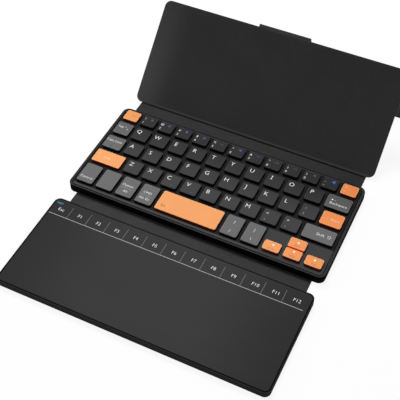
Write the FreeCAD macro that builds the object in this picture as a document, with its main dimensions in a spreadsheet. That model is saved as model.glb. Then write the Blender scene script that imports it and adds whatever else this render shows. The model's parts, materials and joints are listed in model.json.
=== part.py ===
import FreeCAD, Part
import math
import os
import re
import Sketcher

# Compact keyboard in a folio with a touch flap in front and a stand board behind.
# Millimetres. X runs to the right, Y to the back and Z up, from the middle of the keyboard's underside.
# The flap lies open in front, the rear spine lies flat behind and the board leans back on its kickstand.

SIZES = {
    # Key field
    "letter_key_width": 11.2,
    "letter_key_depth": 11.2,
    "number_key_depth": 9.1,
    "bottom_key_depth": 16.1,
    "key_gap": 2.7,
    "row_gap": 3.3,
    "tab_width": 11.2,
    "backspace_width": 16.0,
    "caps_lock_width": 13.2,
    "left_shift_width": 20.7,
    "modifier_width": 11.5,
    "arrow_width": 11.0,
    "arrow_depth": 7.6,
    "arrow_gap": 0.5,
    "side_margin": 4.05,
    "back_margin": 3.2,
    "front_margin": 4.8,
    # Key caps
    "key_top": 8.0,
    "cap_height": 2.7,
    "cap_draft": 1.5,
    "cap_corner": 1.2,
    "cap_edge_round": 0.3,
    "cap_wall": 0.9,
    "cap_roof": 0.9,
    "cap_clearance": 0.2,
    "plunger_radius": 1.7,
    "plunger_gap": 0.05,
    # Keyboard case
    "skin_thickness": 1.0,
    "case_floor": 0.6,
    "case_wall": 1.2,
    "case_corner": 4.5,
    "parting_height": 4.0,
    "deck_bottom": 5.0,
    "deck_top": 5.8,
    "rim_top": 6.2,
    "rim_width": 1.5,
    "rim_bevel": 0.35,
    "groove_round": 0.4,
    "lip_thickness": 0.8,
    "lip_depth": 0.7,
    "lip_clearance": 0.1,
    # Layers under the keys
    "layer_margin": 0.5,
    "plate_height": 2.35,
    "plate_thickness": 0.3,
    "membrane_thickness": 0.25,
    "dome_sheet_thickness": 0.2,
    "dome_height": 0.9,
    "dome_radius": 2.6,
    "dome_draft": 40.0,
    "controller_width": 56.0,
    "controller_depth": 26.0,
    "controller_thickness": 0.4,
    "chip_size": 5.0,
    "chip_spacing": 16.0,
    "chip_thickness": 0.3,
    # Case screws
    "screw_radius": 0.7,
    "screw_head_radius": 1.2,
    "screw_head_height": 0.6,
    "screw_length": 3.4,
    "screw_clearance": 0.05,
    "screw_spacing": 48.0,
    "boss_radius": 1.25,
    "post_radius": 1.7,
    # Magnets
    "magnet_radius": 4.0,
    "magnet_thickness": 0.6,
    "magnet_clearance": 0.05,
    "flap_magnet_radius": 3.0,
    "flap_magnet_thickness": 1.6,
    "magnet_inset": 8.0,
    # Folds
    "hinge_gap": 0.2,
    "fold_gap": 0.3,
    "front_spine_inset": 6.9,
    "rear_spine_inset": 4.7,
    "lining_thickness": 0.45,
    "cable_width": 18.0,
    "cable_thickness": 0.12,
    # Touch flap
    "flap_depth": 72.3,
    "flap_thickness": 5.2,
    "flap_corner": 4.0,
    "flap_wall": 1.2,
    "flap_floor": 0.6,
    "cover_thickness": 0.9,
    "cover_inset": 0.6,
    "cover_clearance": 0.08,
    "cover_round": 0.3,
    "flap_rim_drop": 0.2,
    "sensor_thickness": 0.6,
    "sensor_inset": 1.0,
    "battery_width": 104.0,
    "battery_depth": 46.0,
    "battery_thickness": 2.0,
    "battery_corner": 2.0,
    "power_board_width": 15.0,
    "power_board_depth": 30.0,
    "power_board_thickness": 0.6,
    "port_width": 9.0,
    "port_height": 3.2,
    "port_length": 7.0,
    "port_wall": 0.35,
    "port_mouth_depth": 6.0,
    "port_tongue_thickness": 0.7,
    "port_tongue_inset": 1.4,
    "port_distance": 20.0,
    "port_clearance": 0.05,
    "lens_radius": 0.7,
    "lens_flange_radius": 1.2,
    "lens_flange_thickness": 0.3,
    "lens_side_distance": 4.2,
    "lens_back_distance": 4.2,
    "lens_clearance": 0.05,
    # Stand board
    "board_height": 74.2,
    "board_thickness": 2.0,
    "board_skin": 0.6,
    "board_hem": 1.6,
    "board_corner": 4.5,
    "board_tilt": 44.8,
    "board_magnet_radius": 3.0,
    # Kickstand
    "kickstand_width": 37.5,
    "kickstand_angle": 65.3,
    "kickstand_skin": 0.4,
    "kickstand_plate": 0.4,
    "kickstand_corner": 3.0,
    "kickstand_play": 0.1,
    "band_depth": 10.6,
    "band_overhang": 1.6,
    "band_thickness": 0.5,
    "kickstand_axis_inset": 0.7,
    "foot_length": 3.0,
    # Strap
    "strap_width": 23.0,
    "strap_distance": 43.5,
    "strap_thickness": 1.2,
    "strap_gap": 0.3,
    "strap_tip_length": 20.0,
    "strap_corner": 4.0,
    "strap_magnet_cover": 0.15,
}

LETTER_KEYS = 10
LOWER_LETTER_KEYS = 9
NUMBER_KEYS = 11
SCREW_COLUMNS = (-1.5, -0.5, 0.5, 1.5)
SIDES = (-1, 1)
ROUND_END_FLAT = 0.02  # straight stretch left in the middle of a round end

# Places and sizes that follow from the sheet
FITS = {
    "letter_pitch": "letter_key_width + key_gap",
    "field_width": f"tab_width + {LETTER_KEYS} * letter_pitch + key_gap + backspace_width",
    "field_left": "-field_width / 2",
    "field_right": "field_width / 2",
    "body_width": "field_width + 2 * side_margin",
    "body_left": "-body_width / 2",
    "body_right": "body_width / 2",
    "number_key_width": f"(field_width - {NUMBER_KEYS + 1} * key_gap) / {NUMBER_KEYS + 2}",
    "number_pitch": "number_key_width + key_gap",
    "row_depths": "number_key_depth + 3 * letter_key_depth + bottom_key_depth + 4 * row_gap",
    "base_depth": "back_margin + row_depths + front_margin",
    "base_front": "-base_depth / 2",
    "base_back": "base_depth / 2",
    "number_row_back": "base_back - back_margin",
    "upper_row_back": "number_row_back - number_key_depth - row_gap",
    "home_row_back": "upper_row_back - letter_key_depth - row_gap",
    "lower_row_back": "home_row_back - letter_key_depth - row_gap",
    "bottom_row_back": "lower_row_back - letter_key_depth - row_gap",
    "bottom_row_front": "bottom_row_back - bottom_key_depth",
    "arrow_row_back": "bottom_row_front + arrow_depth",
    "up_key_depth": "bottom_key_depth - arrow_depth - arrow_gap",
    "enter_width": f"field_width - caps_lock_width - {LETTER_KEYS} * letter_pitch - key_gap",
    "right_shift_width": f"field_width - left_shift_width - {LOWER_LETTER_KEYS} * letter_pitch - key_gap",
    "modifier_pitch": "modifier_width + key_gap",
    "arrow_pitch": "arrow_width + key_gap",
    "space_left": "field_left + 4 * modifier_pitch",
    "space_width": "field_width - 6 * modifier_pitch - 3 * arrow_pitch",
    "slash_left": "space_left + space_width + key_gap",
    "cap_bottom": "key_top - cap_height",
    "floor_top": "skin_thickness + case_floor",
    "membrane_bottom": "plate_height + plate_thickness",
    "dome_sheet_bottom": "membrane_bottom + membrane_thickness",
    "dome_bottom": "dome_sheet_bottom + dome_sheet_thickness",
    "dome_top": "dome_bottom + dome_height",
    "layer_left": "field_left - layer_margin",
    "layer_width": "field_width + 2 * layer_margin",
    "layer_front": "bottom_row_front - layer_margin",
    "layer_depth": "row_depths + 2 * layer_margin",
    "back_screw_row": "upper_row_back + row_gap / 2",
    "front_screw_row": "bottom_row_back + row_gap / 2",
    "controller_front": "home_row_back - controller_depth / 2",
    "controller_left": "-screw_spacing - controller_width / 2",
    "front_hinge": "base_front - hinge_gap",
    "front_spine_length": "key_top + fold_gap + flap_thickness - 2 * skin_thickness",
    "flap_hinge": "front_hinge - front_spine_length",
    "flap_back": "flap_hinge - hinge_gap",
    "flap_front": "flap_back - flap_depth",
    "flap_floor_top": "skin_thickness + flap_floor",
    "cover_bottom": "flap_thickness - cover_thickness",
    "sensor_bottom": "cover_bottom - sensor_thickness",
    "port_back": "flap_back - port_distance",
    "port_middle": "port_back - port_width / 2",
    "lens_across": "body_left + lens_side_distance",
    "lens_along": "flap_back - lens_back_distance",
    "rear_hinge": "base_back + hinge_gap",
    "rear_spine_length": "front_spine_length + skin_thickness + fold_gap + board_thickness / 2",
    "board_hinge": "rear_hinge + rear_spine_length",
    "board_back": "-board_thickness / 2",
    "board_face": "board_thickness / 2",
    "board_length": "board_height - hinge_gap",
    "stiffener_back": "board_back + board_skin",
    "stiffener_face": "board_face - board_skin",
    "band_outer": "board_back - band_thickness",
    "kickstand_axis_along": "board_height + band_overhang - kickstand_axis_inset",
    "kickstand_axis_out": "band_outer - kickstand_play",
    "kickstand_axis_back": "board_hinge + kickstand_axis_along * cos(board_tilt)"
                           " - kickstand_axis_out * sin(board_tilt)",
    "kickstand_axis_height": "skin_thickness + kickstand_axis_along * sin(board_tilt)"
                             " + kickstand_axis_out * cos(board_tilt)",
    "kickstand_length": "(kickstand_axis_height + kickstand_play * cos(kickstand_angle))"
                        " / sin(kickstand_angle)",
    "kickstand_plate_bottom": "kickstand_play + kickstand_skin",
    "kickstand_back_bottom": "kickstand_plate_bottom + kickstand_plate",
    "kickstand_thickness": "2 * kickstand_skin + kickstand_plate",
    "leg_length": "kickstand_length - foot_length - hinge_gap",
    "strap_hinge": "body_right + strap_gap",
    "strap_side_length": "front_spine_length + 2 * skin_thickness + 2 * fold_gap",
    "strap_tip_hinge": "strap_hinge + strap_side_length",
    "strap_back": "board_face - strap_thickness",
    "strap_middle": "strap_distance + strap_width / 2",
    "strap_magnet_across": "strap_tip_hinge + strap_tip_length / 2",
    "base_magnet_across": "body_right + strap_gap - strap_tip_length / 2",
    "base_magnet_along": "rear_hinge - strap_middle",
}

# Name of the piece, keys in the run, left edge of the first, spacing, width, back edge, depth and plungers under each
KEYS = (
    ("key_escape", 1, "field_left", "0", "number_key_width", "number_row_back", "number_key_depth", 1),
    ("keys_number_row", NUMBER_KEYS, "field_left + number_pitch", "number_pitch", "number_key_width",
     "number_row_back", "number_key_depth", 1),
    ("key_delete", 1, "field_right - number_key_width", "0", "number_key_width",
     "number_row_back", "number_key_depth", 1),
    ("key_tab", 1, "field_left", "0", "tab_width", "upper_row_back", "letter_key_depth", 1),
    ("keys_upper_row", LETTER_KEYS, "field_left + tab_width + key_gap", "letter_pitch", "letter_key_width",
     "upper_row_back", "letter_key_depth", 1),
    ("key_backspace", 1, "field_right - backspace_width", "0", "backspace_width",
     "upper_row_back", "letter_key_depth", 1),
    ("key_caps_lock", 1, "field_left", "0", "caps_lock_width", "home_row_back", "letter_key_depth", 1),
    ("keys_home_row", LETTER_KEYS, "field_left + caps_lock_width + key_gap", "letter_pitch",
     "letter_key_width", "home_row_back", "letter_key_depth", 1),
    ("key_enter", 1, "field_right - enter_width", "0", "enter_width",
     "home_row_back", "letter_key_depth", 1),
    ("key_left_shift", 1, "field_left", "0", "left_shift_width", "lower_row_back", "letter_key_depth", 2),
    ("keys_lower_row", LOWER_LETTER_KEYS, "field_left + left_shift_width + key_gap", "letter_pitch",
     "letter_key_width", "lower_row_back", "letter_key_depth", 1),
    ("key_right_shift", 1, "field_right - right_shift_width", "0", "right_shift_width",
     "lower_row_back", "letter_key_depth", 2),
    ("key_control", 1, "field_left", "0", "modifier_width", "bottom_row_back", "bottom_key_depth", 1),
    ("key_function", 1, "field_left + modifier_pitch", "0", "modifier_width",
     "bottom_row_back", "bottom_key_depth", 1),
    ("key_option", 1, "field_left + 2 * modifier_pitch", "0", "modifier_width",
     "bottom_row_back", "bottom_key_depth", 1),
    ("key_command", 1, "field_left + 3 * modifier_pitch", "0", "modifier_width",
     "bottom_row_back", "bottom_key_depth", 1),
    ("key_space", 1, "space_left", "0", "space_width", "bottom_row_back", "bottom_key_depth", 2),
    ("key_slash", 1, "slash_left", "0", "modifier_width", "bottom_row_back", "bottom_key_depth", 1),
    ("key_bar", 1, "slash_left + modifier_pitch", "0", "modifier_width",
     "bottom_row_back", "bottom_key_depth", 1),
    ("key_left", 1, "field_right - 2 * arrow_pitch - arrow_width", "0", "arrow_width",
     "arrow_row_back", "arrow_depth", 1),
    ("key_down", 1, "field_right - arrow_pitch - arrow_width", "0", "arrow_width",
     "arrow_row_back", "arrow_depth", 1),
    ("key_up", 1, "field_right - arrow_pitch - arrow_width", "0", "arrow_width",
     "bottom_row_back", "up_key_depth", 1),
    ("key_right", 1, "field_right - arrow_width", "0", "arrow_width",
     "arrow_row_back", "arrow_depth", 1),
)

pieces = []
document = FreeCAD.newDocument("folio_keyboard")
sheet = document.addObject("Spreadsheet::Sheet", "Sizes")
for row, (name, value) in enumerate(SIZES.items(), 1):
    sheet.set(f"A{row}", name)
    sheet.set(f"B{row}", str(value))
    sheet.setAlias(f"B{row}", name)
document.recompute()


def spell_out(text):
    """Turn the names in a size into cells of the sheet."""

    def spell(match):
        word = match.group(0)
        if word in FITS:
            return f"({spell_out(FITS[word])})"
        return f"Sizes.{word}" if word in SIZES else word

    return re.sub(r"[a-z][a-z_]*", spell, text)


def bind(feature, target, size):
    feature.setExpression(target, spell_out(size))


def keep(piece):
    """Note a finished piece, which gets a file under its own name."""
    pieces.append(piece)
    return piece


def new_body(name):
    body = document.addObject("PartDesign::Body", name)
    body.Label = name
    body.AllowCompound = True
    return body


def new_piece(name):
    return keep(new_body(name))


def new_sketch(body, height, plane="XY_Plane"):
    sketch = body.newObject("Sketcher::SketchObject", f"{body.Label}_sketch")
    origin_plane = next(item for item in body.Origin.OriginFeatures if item.Role == plane)
    sketch.AttachmentSupport = [(origin_plane, "")]
    sketch.MapMode = "FlatFace"
    bind(sketch, "AttachmentOffset.Base.z", height)
    return sketch


def place_geometry(sketch, constraints, sizes):
    """Add constraints and tie them to sizes."""
    for index, size in zip(sketch.addConstraint(constraints), sizes):
        bind(sketch, f"Constraints[{index}]", size)


def draw_box(sketch, box, corner=None):
    """Draw a rectangle given as left edge, front edge, width and depth, with square or round corners."""
    first = sketch.GeometryCount
    cut = 0.2 if corner else 0
    ends = (((cut, 0), (1 - cut, 0)), ((1, cut), (1, 1 - cut)), ((1 - cut, 1), (cut, 1)), ((0, 1 - cut), (0, cut)))
    for start, end in ends:
        sketch.addGeometry(Part.LineSegment(FreeCAD.Vector(*start, 0), FreeCAD.Vector(*end, 0)))
    rules = [Sketcher.Constraint("Horizontal", first), Sketcher.Constraint("Vertical", first + 1),
             Sketcher.Constraint("Horizontal", first + 2), Sketcher.Constraint("Vertical", first + 3)]
    if corner:
        middles = ((1 - cut, cut), (1 - cut, 1 - cut), (cut, 1 - cut), (cut, cut))
        for side, middle in enumerate(middles):
            circle = Part.Circle(FreeCAD.Vector(*middle, 0), FreeCAD.Vector(0, 0, 1), cut)
            start = math.radians(90 * side - 90)
            sketch.addGeometry(Part.ArcOfCircle(circle, start, start + math.pi / 2))
            arc = first + 4 + side
            rules.append(Sketcher.Constraint("Tangent", first + side, 2, arc, 1))
            rules.append(Sketcher.Constraint("Tangent", arc, 2, first + (side + 1) % 4, 1))
        rules += [Sketcher.Constraint("Equal", first + 4, first + 5 + side) for side in range(3)]
    else:
        rules += [Sketcher.Constraint("Coincident", first + side, 2, first + (side + 1) % 4, 1)
                  for side in range(4)]
    sketch.addConstraint(rules)
    place_geometry(sketch, [Sketcher.Constraint("DistanceX", -1, 1, first + 3, 2, 0.0),
                            Sketcher.Constraint("DistanceY", -1, 1, first, 1, 0.0),
                            Sketcher.Constraint("DistanceX", first + 3, 2, first + 1, 1, 1.0),
                            Sketcher.Constraint("DistanceY", first, 1, first + 2, 2, 1.0)], box)
    if corner:
        place_geometry(sketch, [Sketcher.Constraint("Radius", first + 4, cut)], [corner])


def draw_boxes(sketch, boxes, corner=None):
    for box in boxes:
        draw_box(sketch, box, corner)


def draw_circles(sketch, circles):
    """Draw circles given as two places and a radius."""
    for circle in circles:
        number = sketch.addGeometry(Part.Circle(FreeCAD.Vector(0, 0, 0), FreeCAD.Vector(0, 0, 1), 1))
        place_geometry(sketch, [Sketcher.Constraint("DistanceX", -1, 1, number, 3, 0.0),
                                Sketcher.Constraint("DistanceY", -1, 1, number, 3, 0.0),
                                Sketcher.Constraint("Radius", number, 1.0)], circle)


def pad(body, sketch, length, draft="0"):
    feature = body.newObject("PartDesign::Pad", f"{body.Label}_pad")
    feature.Profile = sketch
    bind(feature, "Length", length)
    bind(feature, "TaperAngle", f"-({draft})")
    document.recompute()
    return feature


def pocket(body, sketch, depth, upward=True):
    """Cut up, or down, from the sketch, and see that something was cut."""
    before = body.Shape.Volume
    feature = body.newObject("PartDesign::Pocket", f"{body.Label}_pocket")
    feature.Profile = sketch
    feature.Reversed = upward
    bind(feature, "Length", depth)
    document.recompute()
    if not body.Shape.Volume < before:
        raise ValueError(f"a pocket of {body.Label} cuts nothing")
    return feature


def add_box(body, box, height, thickness, corner=None, draft="0"):
    sketch = new_sketch(body, height)
    draw_box(sketch, box, corner)
    return pad(body, sketch, thickness, draft)


def cut_box(body, box, height, depth, corner=None):
    sketch = new_sketch(body, height)
    draw_box(sketch, box, corner)
    return pocket(body, sketch, depth)


def add_circles(body, circles, height, thickness, draft="0"):
    sketch = new_sketch(body, height)
    draw_circles(sketch, circles)
    return pad(body, sketch, thickness, draft)


def cut_circles(body, circles, height, depth):
    sketch = new_sketch(body, height)
    draw_circles(sketch, circles)
    return pocket(body, sketch, depth)


def repeat_in_row(body, feature, key, whole=False):
    """Repeat a feature, or the whole piece, along the keys of a run."""
    name, count, left, pitch, *rest = key
    if count == 1:
        return
    pattern = body.newObject("PartDesign::LinearPattern", f"{body.Label}_pattern")
    if whole:
        pattern.TransformMode = "Whole shape"
    else:
        pattern.Originals = [feature]
    pattern.Direction = (feature.Profile[0], ["H_Axis"])
    pattern.Mode = "Spacing"
    bind(pattern, "Offset", pitch)
    pattern.Occurrences = count
    body.Tip = pattern
    document.recompute()


def is_upright(edge):
    ends = [vertex.Point for vertex in edge.Vertexes]
    return len(ends) == 2 and abs(ends[0].z - ends[1].z) > 0.9 * edge.Length


def level_of(edge):
    """Height of a level edge, or None."""
    heights = [vertex.Z for vertex in edge.Vertexes]
    return heights[0] if max(heights) - min(heights) < 1e-4 else None


def soften(body, radius, wanted, kind="Fillet"):
    """Round or bevel the edges of the body's last feature that are wanted."""
    feature = body.Tip
    names = [f"Edge{number}" for number, edge in enumerate(feature.Shape.Edges, 1) if wanted(edge)]
    rounding = body.newObject(f"PartDesign::{kind}", f"{body.Label}_{kind.lower()}")
    rounding.Base = (feature, names)
    bind(rounding, "Radius" if kind == "Fillet" else "Size", radius)
    document.recompute()
    return rounding


def top_edges(body):
    top = max(vertex.Z for vertex in body.Shape.Vertexes)
    return lambda edge: level_of(edge) is not None and abs(level_of(edge) - top) < 1e-4


def grown(box, margin):
    """The same rectangle, larger by a margin all round."""
    left, front, width, depth = box
    return (f"{left} - ({margin})", f"{front} - ({margin})",
            f"{width} + 2 * ({margin})", f"{depth} + 2 * ({margin})")


def shrunk(box, margin):
    return grown(box, f"-({margin})")


def plate(name, box, height, thickness, corner=None):
    """A flat piece with a rectangular outline."""
    body = new_piece(name)
    add_box(body, box, height, thickness, corner)
    return body


def on_board(body):
    """Lean a piece back with the board, whose foot is at the board's hinge."""
    body.Placement.Rotation = FreeCAD.Rotation(FreeCAD.Vector(1, 0, 0), 1)
    bind(body, "Placement.Rotation.Angle", "board_tilt")
    bind(body, "Placement.Base.y", "board_hinge")
    bind(body, "Placement.Base.z", "skin_thickness")
    document.recompute()


def on_kickstand(body):
    """Turn a piece down with the leg, whose top is at the kickstand's axis."""
    body.Placement.Rotation = FreeCAD.Rotation(FreeCAD.Vector(-1, 0, 0), 1)
    bind(body, "Placement.Rotation.Angle", "kickstand_angle")
    bind(body, "Placement.Base.y", "kickstand_axis_back")
    bind(body, "Placement.Base.z", "kickstand_axis_height")
    document.recompute()


BASE_BOX = ("body_left", "base_front", "body_width", "base_depth")
LAYER_BOX = ("layer_left", "layer_front", "layer_width", "layer_depth")
FLAP_BOX = ("body_left", "flap_front", "body_width", "flap_depth")
BOARD_BOX = ("body_left", "hinge_gap", "body_width", "board_length")


def key_box(key):
    """Rectangle of the first key of a run."""
    name, count, left, pitch, width, back, depth, plungers = key
    return left, f"{back} - ({depth})", width, depth


def plunger_circles(key, radius):
    """One circle under the first key's middle, or two a quarter of the width from its ends."""
    left, front, width, depth = key_box(key)
    shares = (0.5,) if key[-1] == 1 else (0.25, 0.75)
    return [(f"{left} + {share} * ({width})", f"{front} + ({depth}) / 2", radius) for share in shares]


def screw_circles(radius):
    return [(f"{column} * screw_spacing", row, radius)
            for column in SCREW_COLUMNS for row in ("back_screw_row", "front_screw_row")]


def make_base_skin():
    plate("base_skin", BASE_BOX, "0", "skin_thickness", "case_corner")


def make_bottom_case():
    body = new_piece("bottom_case")
    add_box(body, BASE_BOX, "skin_thickness", "parting_height - skin_thickness", "case_corner")
    soften(body, "groove_round", top_edges(body))
    cut_box(body, shrunk(BASE_BOX, "case_wall"), "floor_top", "parting_height", "case_corner - case_wall")
    add_circles(body, screw_circles("post_radius"), "floor_top", "plate_height - floor_top")
    cut_circles(body, screw_circles("screw_head_radius + screw_clearance"),
                "skin_thickness", "screw_head_height")
    cut_circles(body, screw_circles("screw_radius + screw_clearance"), "skin_thickness", "parting_height")


def make_key_hole(key):
    """Block that opens the deck round one key, or round each key of a run."""
    hole = new_body(f"{key[0]}_hole")
    block = add_box(hole, grown(key_box(key), "cap_clearance"), "cap_bottom - cap_height",
                    "2 * cap_height", "cap_corner + cap_clearance")
    repeat_in_row(hole, block, key, whole=True)
    return hole


def make_top_frame():
    body = new_body("frame_without_holes")
    add_box(body, BASE_BOX, "parting_height", "rim_top - parting_height", "case_corner")
    soften(body, "groove_round", lambda edge: level_of(edge) is not None)
    cut_box(body, shrunk(BASE_BOX, "rim_width"), "deck_top", "rim_top", "case_corner - rim_width")
    soften(body, "rim_bevel", lambda edge: is_inner_rim_edge(body, edge), "Chamfer")
    cut_box(body, shrunk(BASE_BOX, "case_wall"), "parting_height", "deck_bottom - parting_height",
            "case_corner - case_wall")
    lip = shrunk(BASE_BOX, "case_wall + lip_clearance")
    lip_corner = "case_corner - case_wall - lip_clearance"
    add_box(body, lip, "parting_height - lip_depth", "deck_bottom - parting_height + lip_depth", lip_corner)
    cut_box(body, shrunk(lip, "lip_thickness"), "parting_height - lip_depth",
            "deck_bottom - parting_height + lip_depth", f"{lip_corner} - lip_thickness")
    add_circles(body, screw_circles("boss_radius"), "membrane_bottom", "deck_bottom - membrane_bottom")
    cut_circles(body, screw_circles("screw_radius + screw_clearance"), "membrane_bottom",
                "skin_thickness + screw_length + screw_head_height - membrane_bottom")
    holes = document.addObject("Part::Compound", "key_holes")
    holes.Links = [make_key_hole(key) for key in KEYS]
    frame = document.addObject("Part::Cut", "top_frame")
    frame.Base = body
    frame.Tool = holes
    keep(frame)
    document.recompute()


def is_inner_rim_edge(body, edge):
    """True for the top edges round the recessed deck."""
    inside = body.Shape.BoundBox.XMax - sheet.get("rim_width") + 0.01
    return top_edges(body)(edge) and all(abs(vertex.X) < inside for vertex in edge.Vertexes)


def make_layers():
    support = plate("key_support_plate", LAYER_BOX, "plate_height", "plate_thickness")
    cut_circles(support, screw_circles("screw_radius + screw_clearance"), "plate_height", "plate_thickness")
    membrane = plate("membrane_circuit", LAYER_BOX, "membrane_bottom", "membrane_thickness")
    cut_circles(membrane, screw_circles("boss_radius + cap_clearance"), "membrane_bottom",
                "membrane_thickness")
    domes = plate("dome_sheet", LAYER_BOX, "dome_sheet_bottom", "dome_sheet_thickness")
    cut_circles(domes, screw_circles("boss_radius + cap_clearance"), "dome_sheet_bottom",
                "dome_sheet_thickness")
    for key in KEYS:
        dome = add_circles(domes, plunger_circles(key, "dome_radius"), "dome_bottom", "dome_height",
                           "dome_draft")
        repeat_in_row(domes, dome, key)


def make_controller():
    plate("controller_board", ("controller_left", "controller_front", "controller_width",
                               "controller_depth"), "floor_top", "controller_thickness", "lip_thickness")
    chips = new_piece("controller_chips")
    for place in (-1, 0, 1):
        box = (f"controller_left + controller_width / 2 + {place} * chip_spacing - chip_size / 2",
               "controller_front + controller_depth / 2 - chip_size / 2", "chip_size", "chip_size")
        add_box(chips, box, "floor_top + controller_thickness", "chip_thickness")


def make_case_screws():
    body = new_piece("case_screws")
    add_circles(body, screw_circles("screw_head_radius"), "skin_thickness", "screw_head_height")
    add_circles(body, screw_circles("screw_radius"), "skin_thickness + screw_head_height", "screw_length")


def make_key(key):
    """Key caps of one run, each hollow below with a plunger that meets its dome."""
    body = new_piece(key[0])
    cap = add_box(body, key_box(key), "cap_bottom", "cap_height", "cap_corner", "cap_draft")
    cut_box(body, shrunk(key_box(key), "cap_wall"), "cap_bottom", "cap_height - cap_roof")
    add_circles(body, plunger_circles(key, "plunger_radius"), "dome_top + plunger_gap",
                "key_top - cap_roof - dome_top - plunger_gap")
    soften(body, "cap_edge_round", top_edges(body))
    repeat_in_row(body, cap, key, whole=True)


def make_base_magnets():
    body = new_piece("base_magnets")
    add_circles(body, [("base_magnet_across", "base_magnet_along", "magnet_radius")],
                "floor_top", "magnet_thickness")


def make_front_spine():
    box = ("body_left + front_spine_inset", "flap_hinge + hinge_gap",
           "body_width - 2 * front_spine_inset", "front_spine_length - 2 * hinge_gap")
    plate("front_spine_skin", box, "0", "skin_thickness - lining_thickness")
    lining = plate("front_spine_lining", box, "skin_thickness - lining_thickness", "lining_thickness")
    cable_box = ("-cable_width / 2", "flap_hinge + hinge_gap", "cable_width",
                 "front_spine_length - 2 * hinge_gap")
    cut_box(lining, cable_box, "skin_thickness - lining_thickness", "cable_thickness")
    plate("flex_cable", cable_box, "skin_thickness - lining_thickness", "cable_thickness")


def make_rear_spine():
    box = ("body_left + rear_spine_inset", "rear_hinge + hinge_gap",
           "body_width - 2 * rear_spine_inset", "rear_spine_length - 2 * hinge_gap")
    plate("rear_spine_skin", box, "0", "skin_thickness - lining_thickness")
    plate("rear_spine_lining", box, "skin_thickness - lining_thickness", "lining_thickness")


def make_flap_tray():
    body = new_piece("flap_tray")
    add_box(body, FLAP_BOX, "skin_thickness", "flap_thickness - flap_rim_drop - skin_thickness",
            "flap_corner")
    cut_box(body, shrunk(FLAP_BOX, "cover_inset"), "cover_bottom", "flap_thickness",
            "flap_corner - cover_inset")
    cut_box(body, shrunk(FLAP_BOX, "flap_wall"), "flap_floor_top", "flap_thickness",
            "flap_corner - flap_wall")
    cut_box(body, port_notch("port_length + 2 * port_clearance"), "skin_thickness", "flap_floor")
    cut_stadium(body, "port_clearance", "body_left", "flap_wall + port_clearance")


def make_flap():
    plate("flap_skin", FLAP_BOX, "0", "skin_thickness", "flap_corner")
    make_flap_tray()
    cover_box = shrunk(FLAP_BOX, "cover_inset + cover_clearance")
    cover = plate("touch_cover", cover_box, "cover_bottom", "cover_thickness",
                  "flap_corner - cover_inset - cover_clearance")
    soften(cover, "cover_round", top_edges(cover))
    cut_circles(cover, [("lens_across", "lens_along", "lens_radius + lens_clearance")],
                "cover_bottom", "cover_thickness")
    sensor_box = shrunk(FLAP_BOX, "flap_wall + sensor_inset")
    sensor = plate("touch_sensor_board", sensor_box, "sensor_bottom", "sensor_thickness", "lip_thickness")
    cut_circles(sensor, [("lens_across", "lens_along", "lens_flange_radius + lens_clearance")],
                "sensor_bottom", "sensor_thickness")
    cut_box(sensor, port_notch("flap_wall + port_length + cover_clearance"), "sensor_bottom",
            "sensor_thickness")
    lens = new_piece("indicator_lens")
    add_circles(lens, [("lens_across", "lens_along", "lens_radius")], "cover_bottom", "cover_thickness")
    add_circles(lens, [("lens_across", "lens_along", "lens_flange_radius")],
                "cover_bottom - lens_flange_thickness", "lens_flange_thickness")
    plate("battery", ("-battery_width / 2", "flap_front + (flap_depth - battery_depth) / 2",
                      "battery_width", "battery_depth"),
          "flap_floor_top", "battery_thickness", "battery_corner")


def make_power_board():
    box = ("body_left + flap_wall + port_length + cover_clearance", "port_middle - power_board_depth / 2",
           "power_board_width", "power_board_depth")
    plate("power_board", box, "flap_floor_top", "power_board_thickness", "lip_thickness")


def make_flap_magnets():
    body = new_piece("flap_magnets")
    circles = [(f"{side} * (body_right - magnet_inset)", "flap_front + magnet_inset",
                "flap_magnet_radius") for side in SIDES]
    add_circles(body, circles, "flap_floor_top", "flap_magnet_thickness")


def port_notch(length):
    """Rectangle round the port as seen from above, from the flap's left side inwards."""
    return ("body_left", "port_middle - port_width / 2 - port_clearance", length,
            "port_width + 2 * port_clearance")


def port_outline(margin):
    """The port's outline in the YZ plane: a rectangle with round ends, larger by a margin."""
    box = (f"port_middle - port_width / 2 - ({margin})", f"skin_thickness - ({margin})",
           f"port_width + 2 * ({margin})", f"port_height + 2 * ({margin})")
    return box, f"port_height / 2 + ({margin}) - {ROUND_END_FLAT}"


def cut_stadium(body, margin, start, length):
    """Cut the port's outline along X through a wall."""
    sketch = new_sketch(body, start, "YZ_Plane")
    draw_box(sketch, *port_outline(margin))
    pocket(body, sketch, length)


def make_charge_port():
    """Charging inlet: a shell with round ends, open to the left, with a tongue inside."""
    body = new_piece("charge_port")
    outline = new_sketch(body, "body_left + port_clearance", "YZ_Plane")
    draw_box(outline, *port_outline("0"))
    pad(body, outline, "port_length")
    cut_stadium(body, "-port_wall", "body_left + port_clearance", "port_mouth_depth")
    tongue = new_sketch(body, "body_left + port_tongue_inset", "YZ_Plane")
    draw_box(tongue, ("port_middle - (port_width - port_height) / 2",
                      "skin_thickness + (port_height - port_tongue_thickness) / 2",
                      "port_width - port_height", "port_tongue_thickness"))
    pad(body, tongue, "port_mouth_depth - port_tongue_inset + port_wall")


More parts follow.
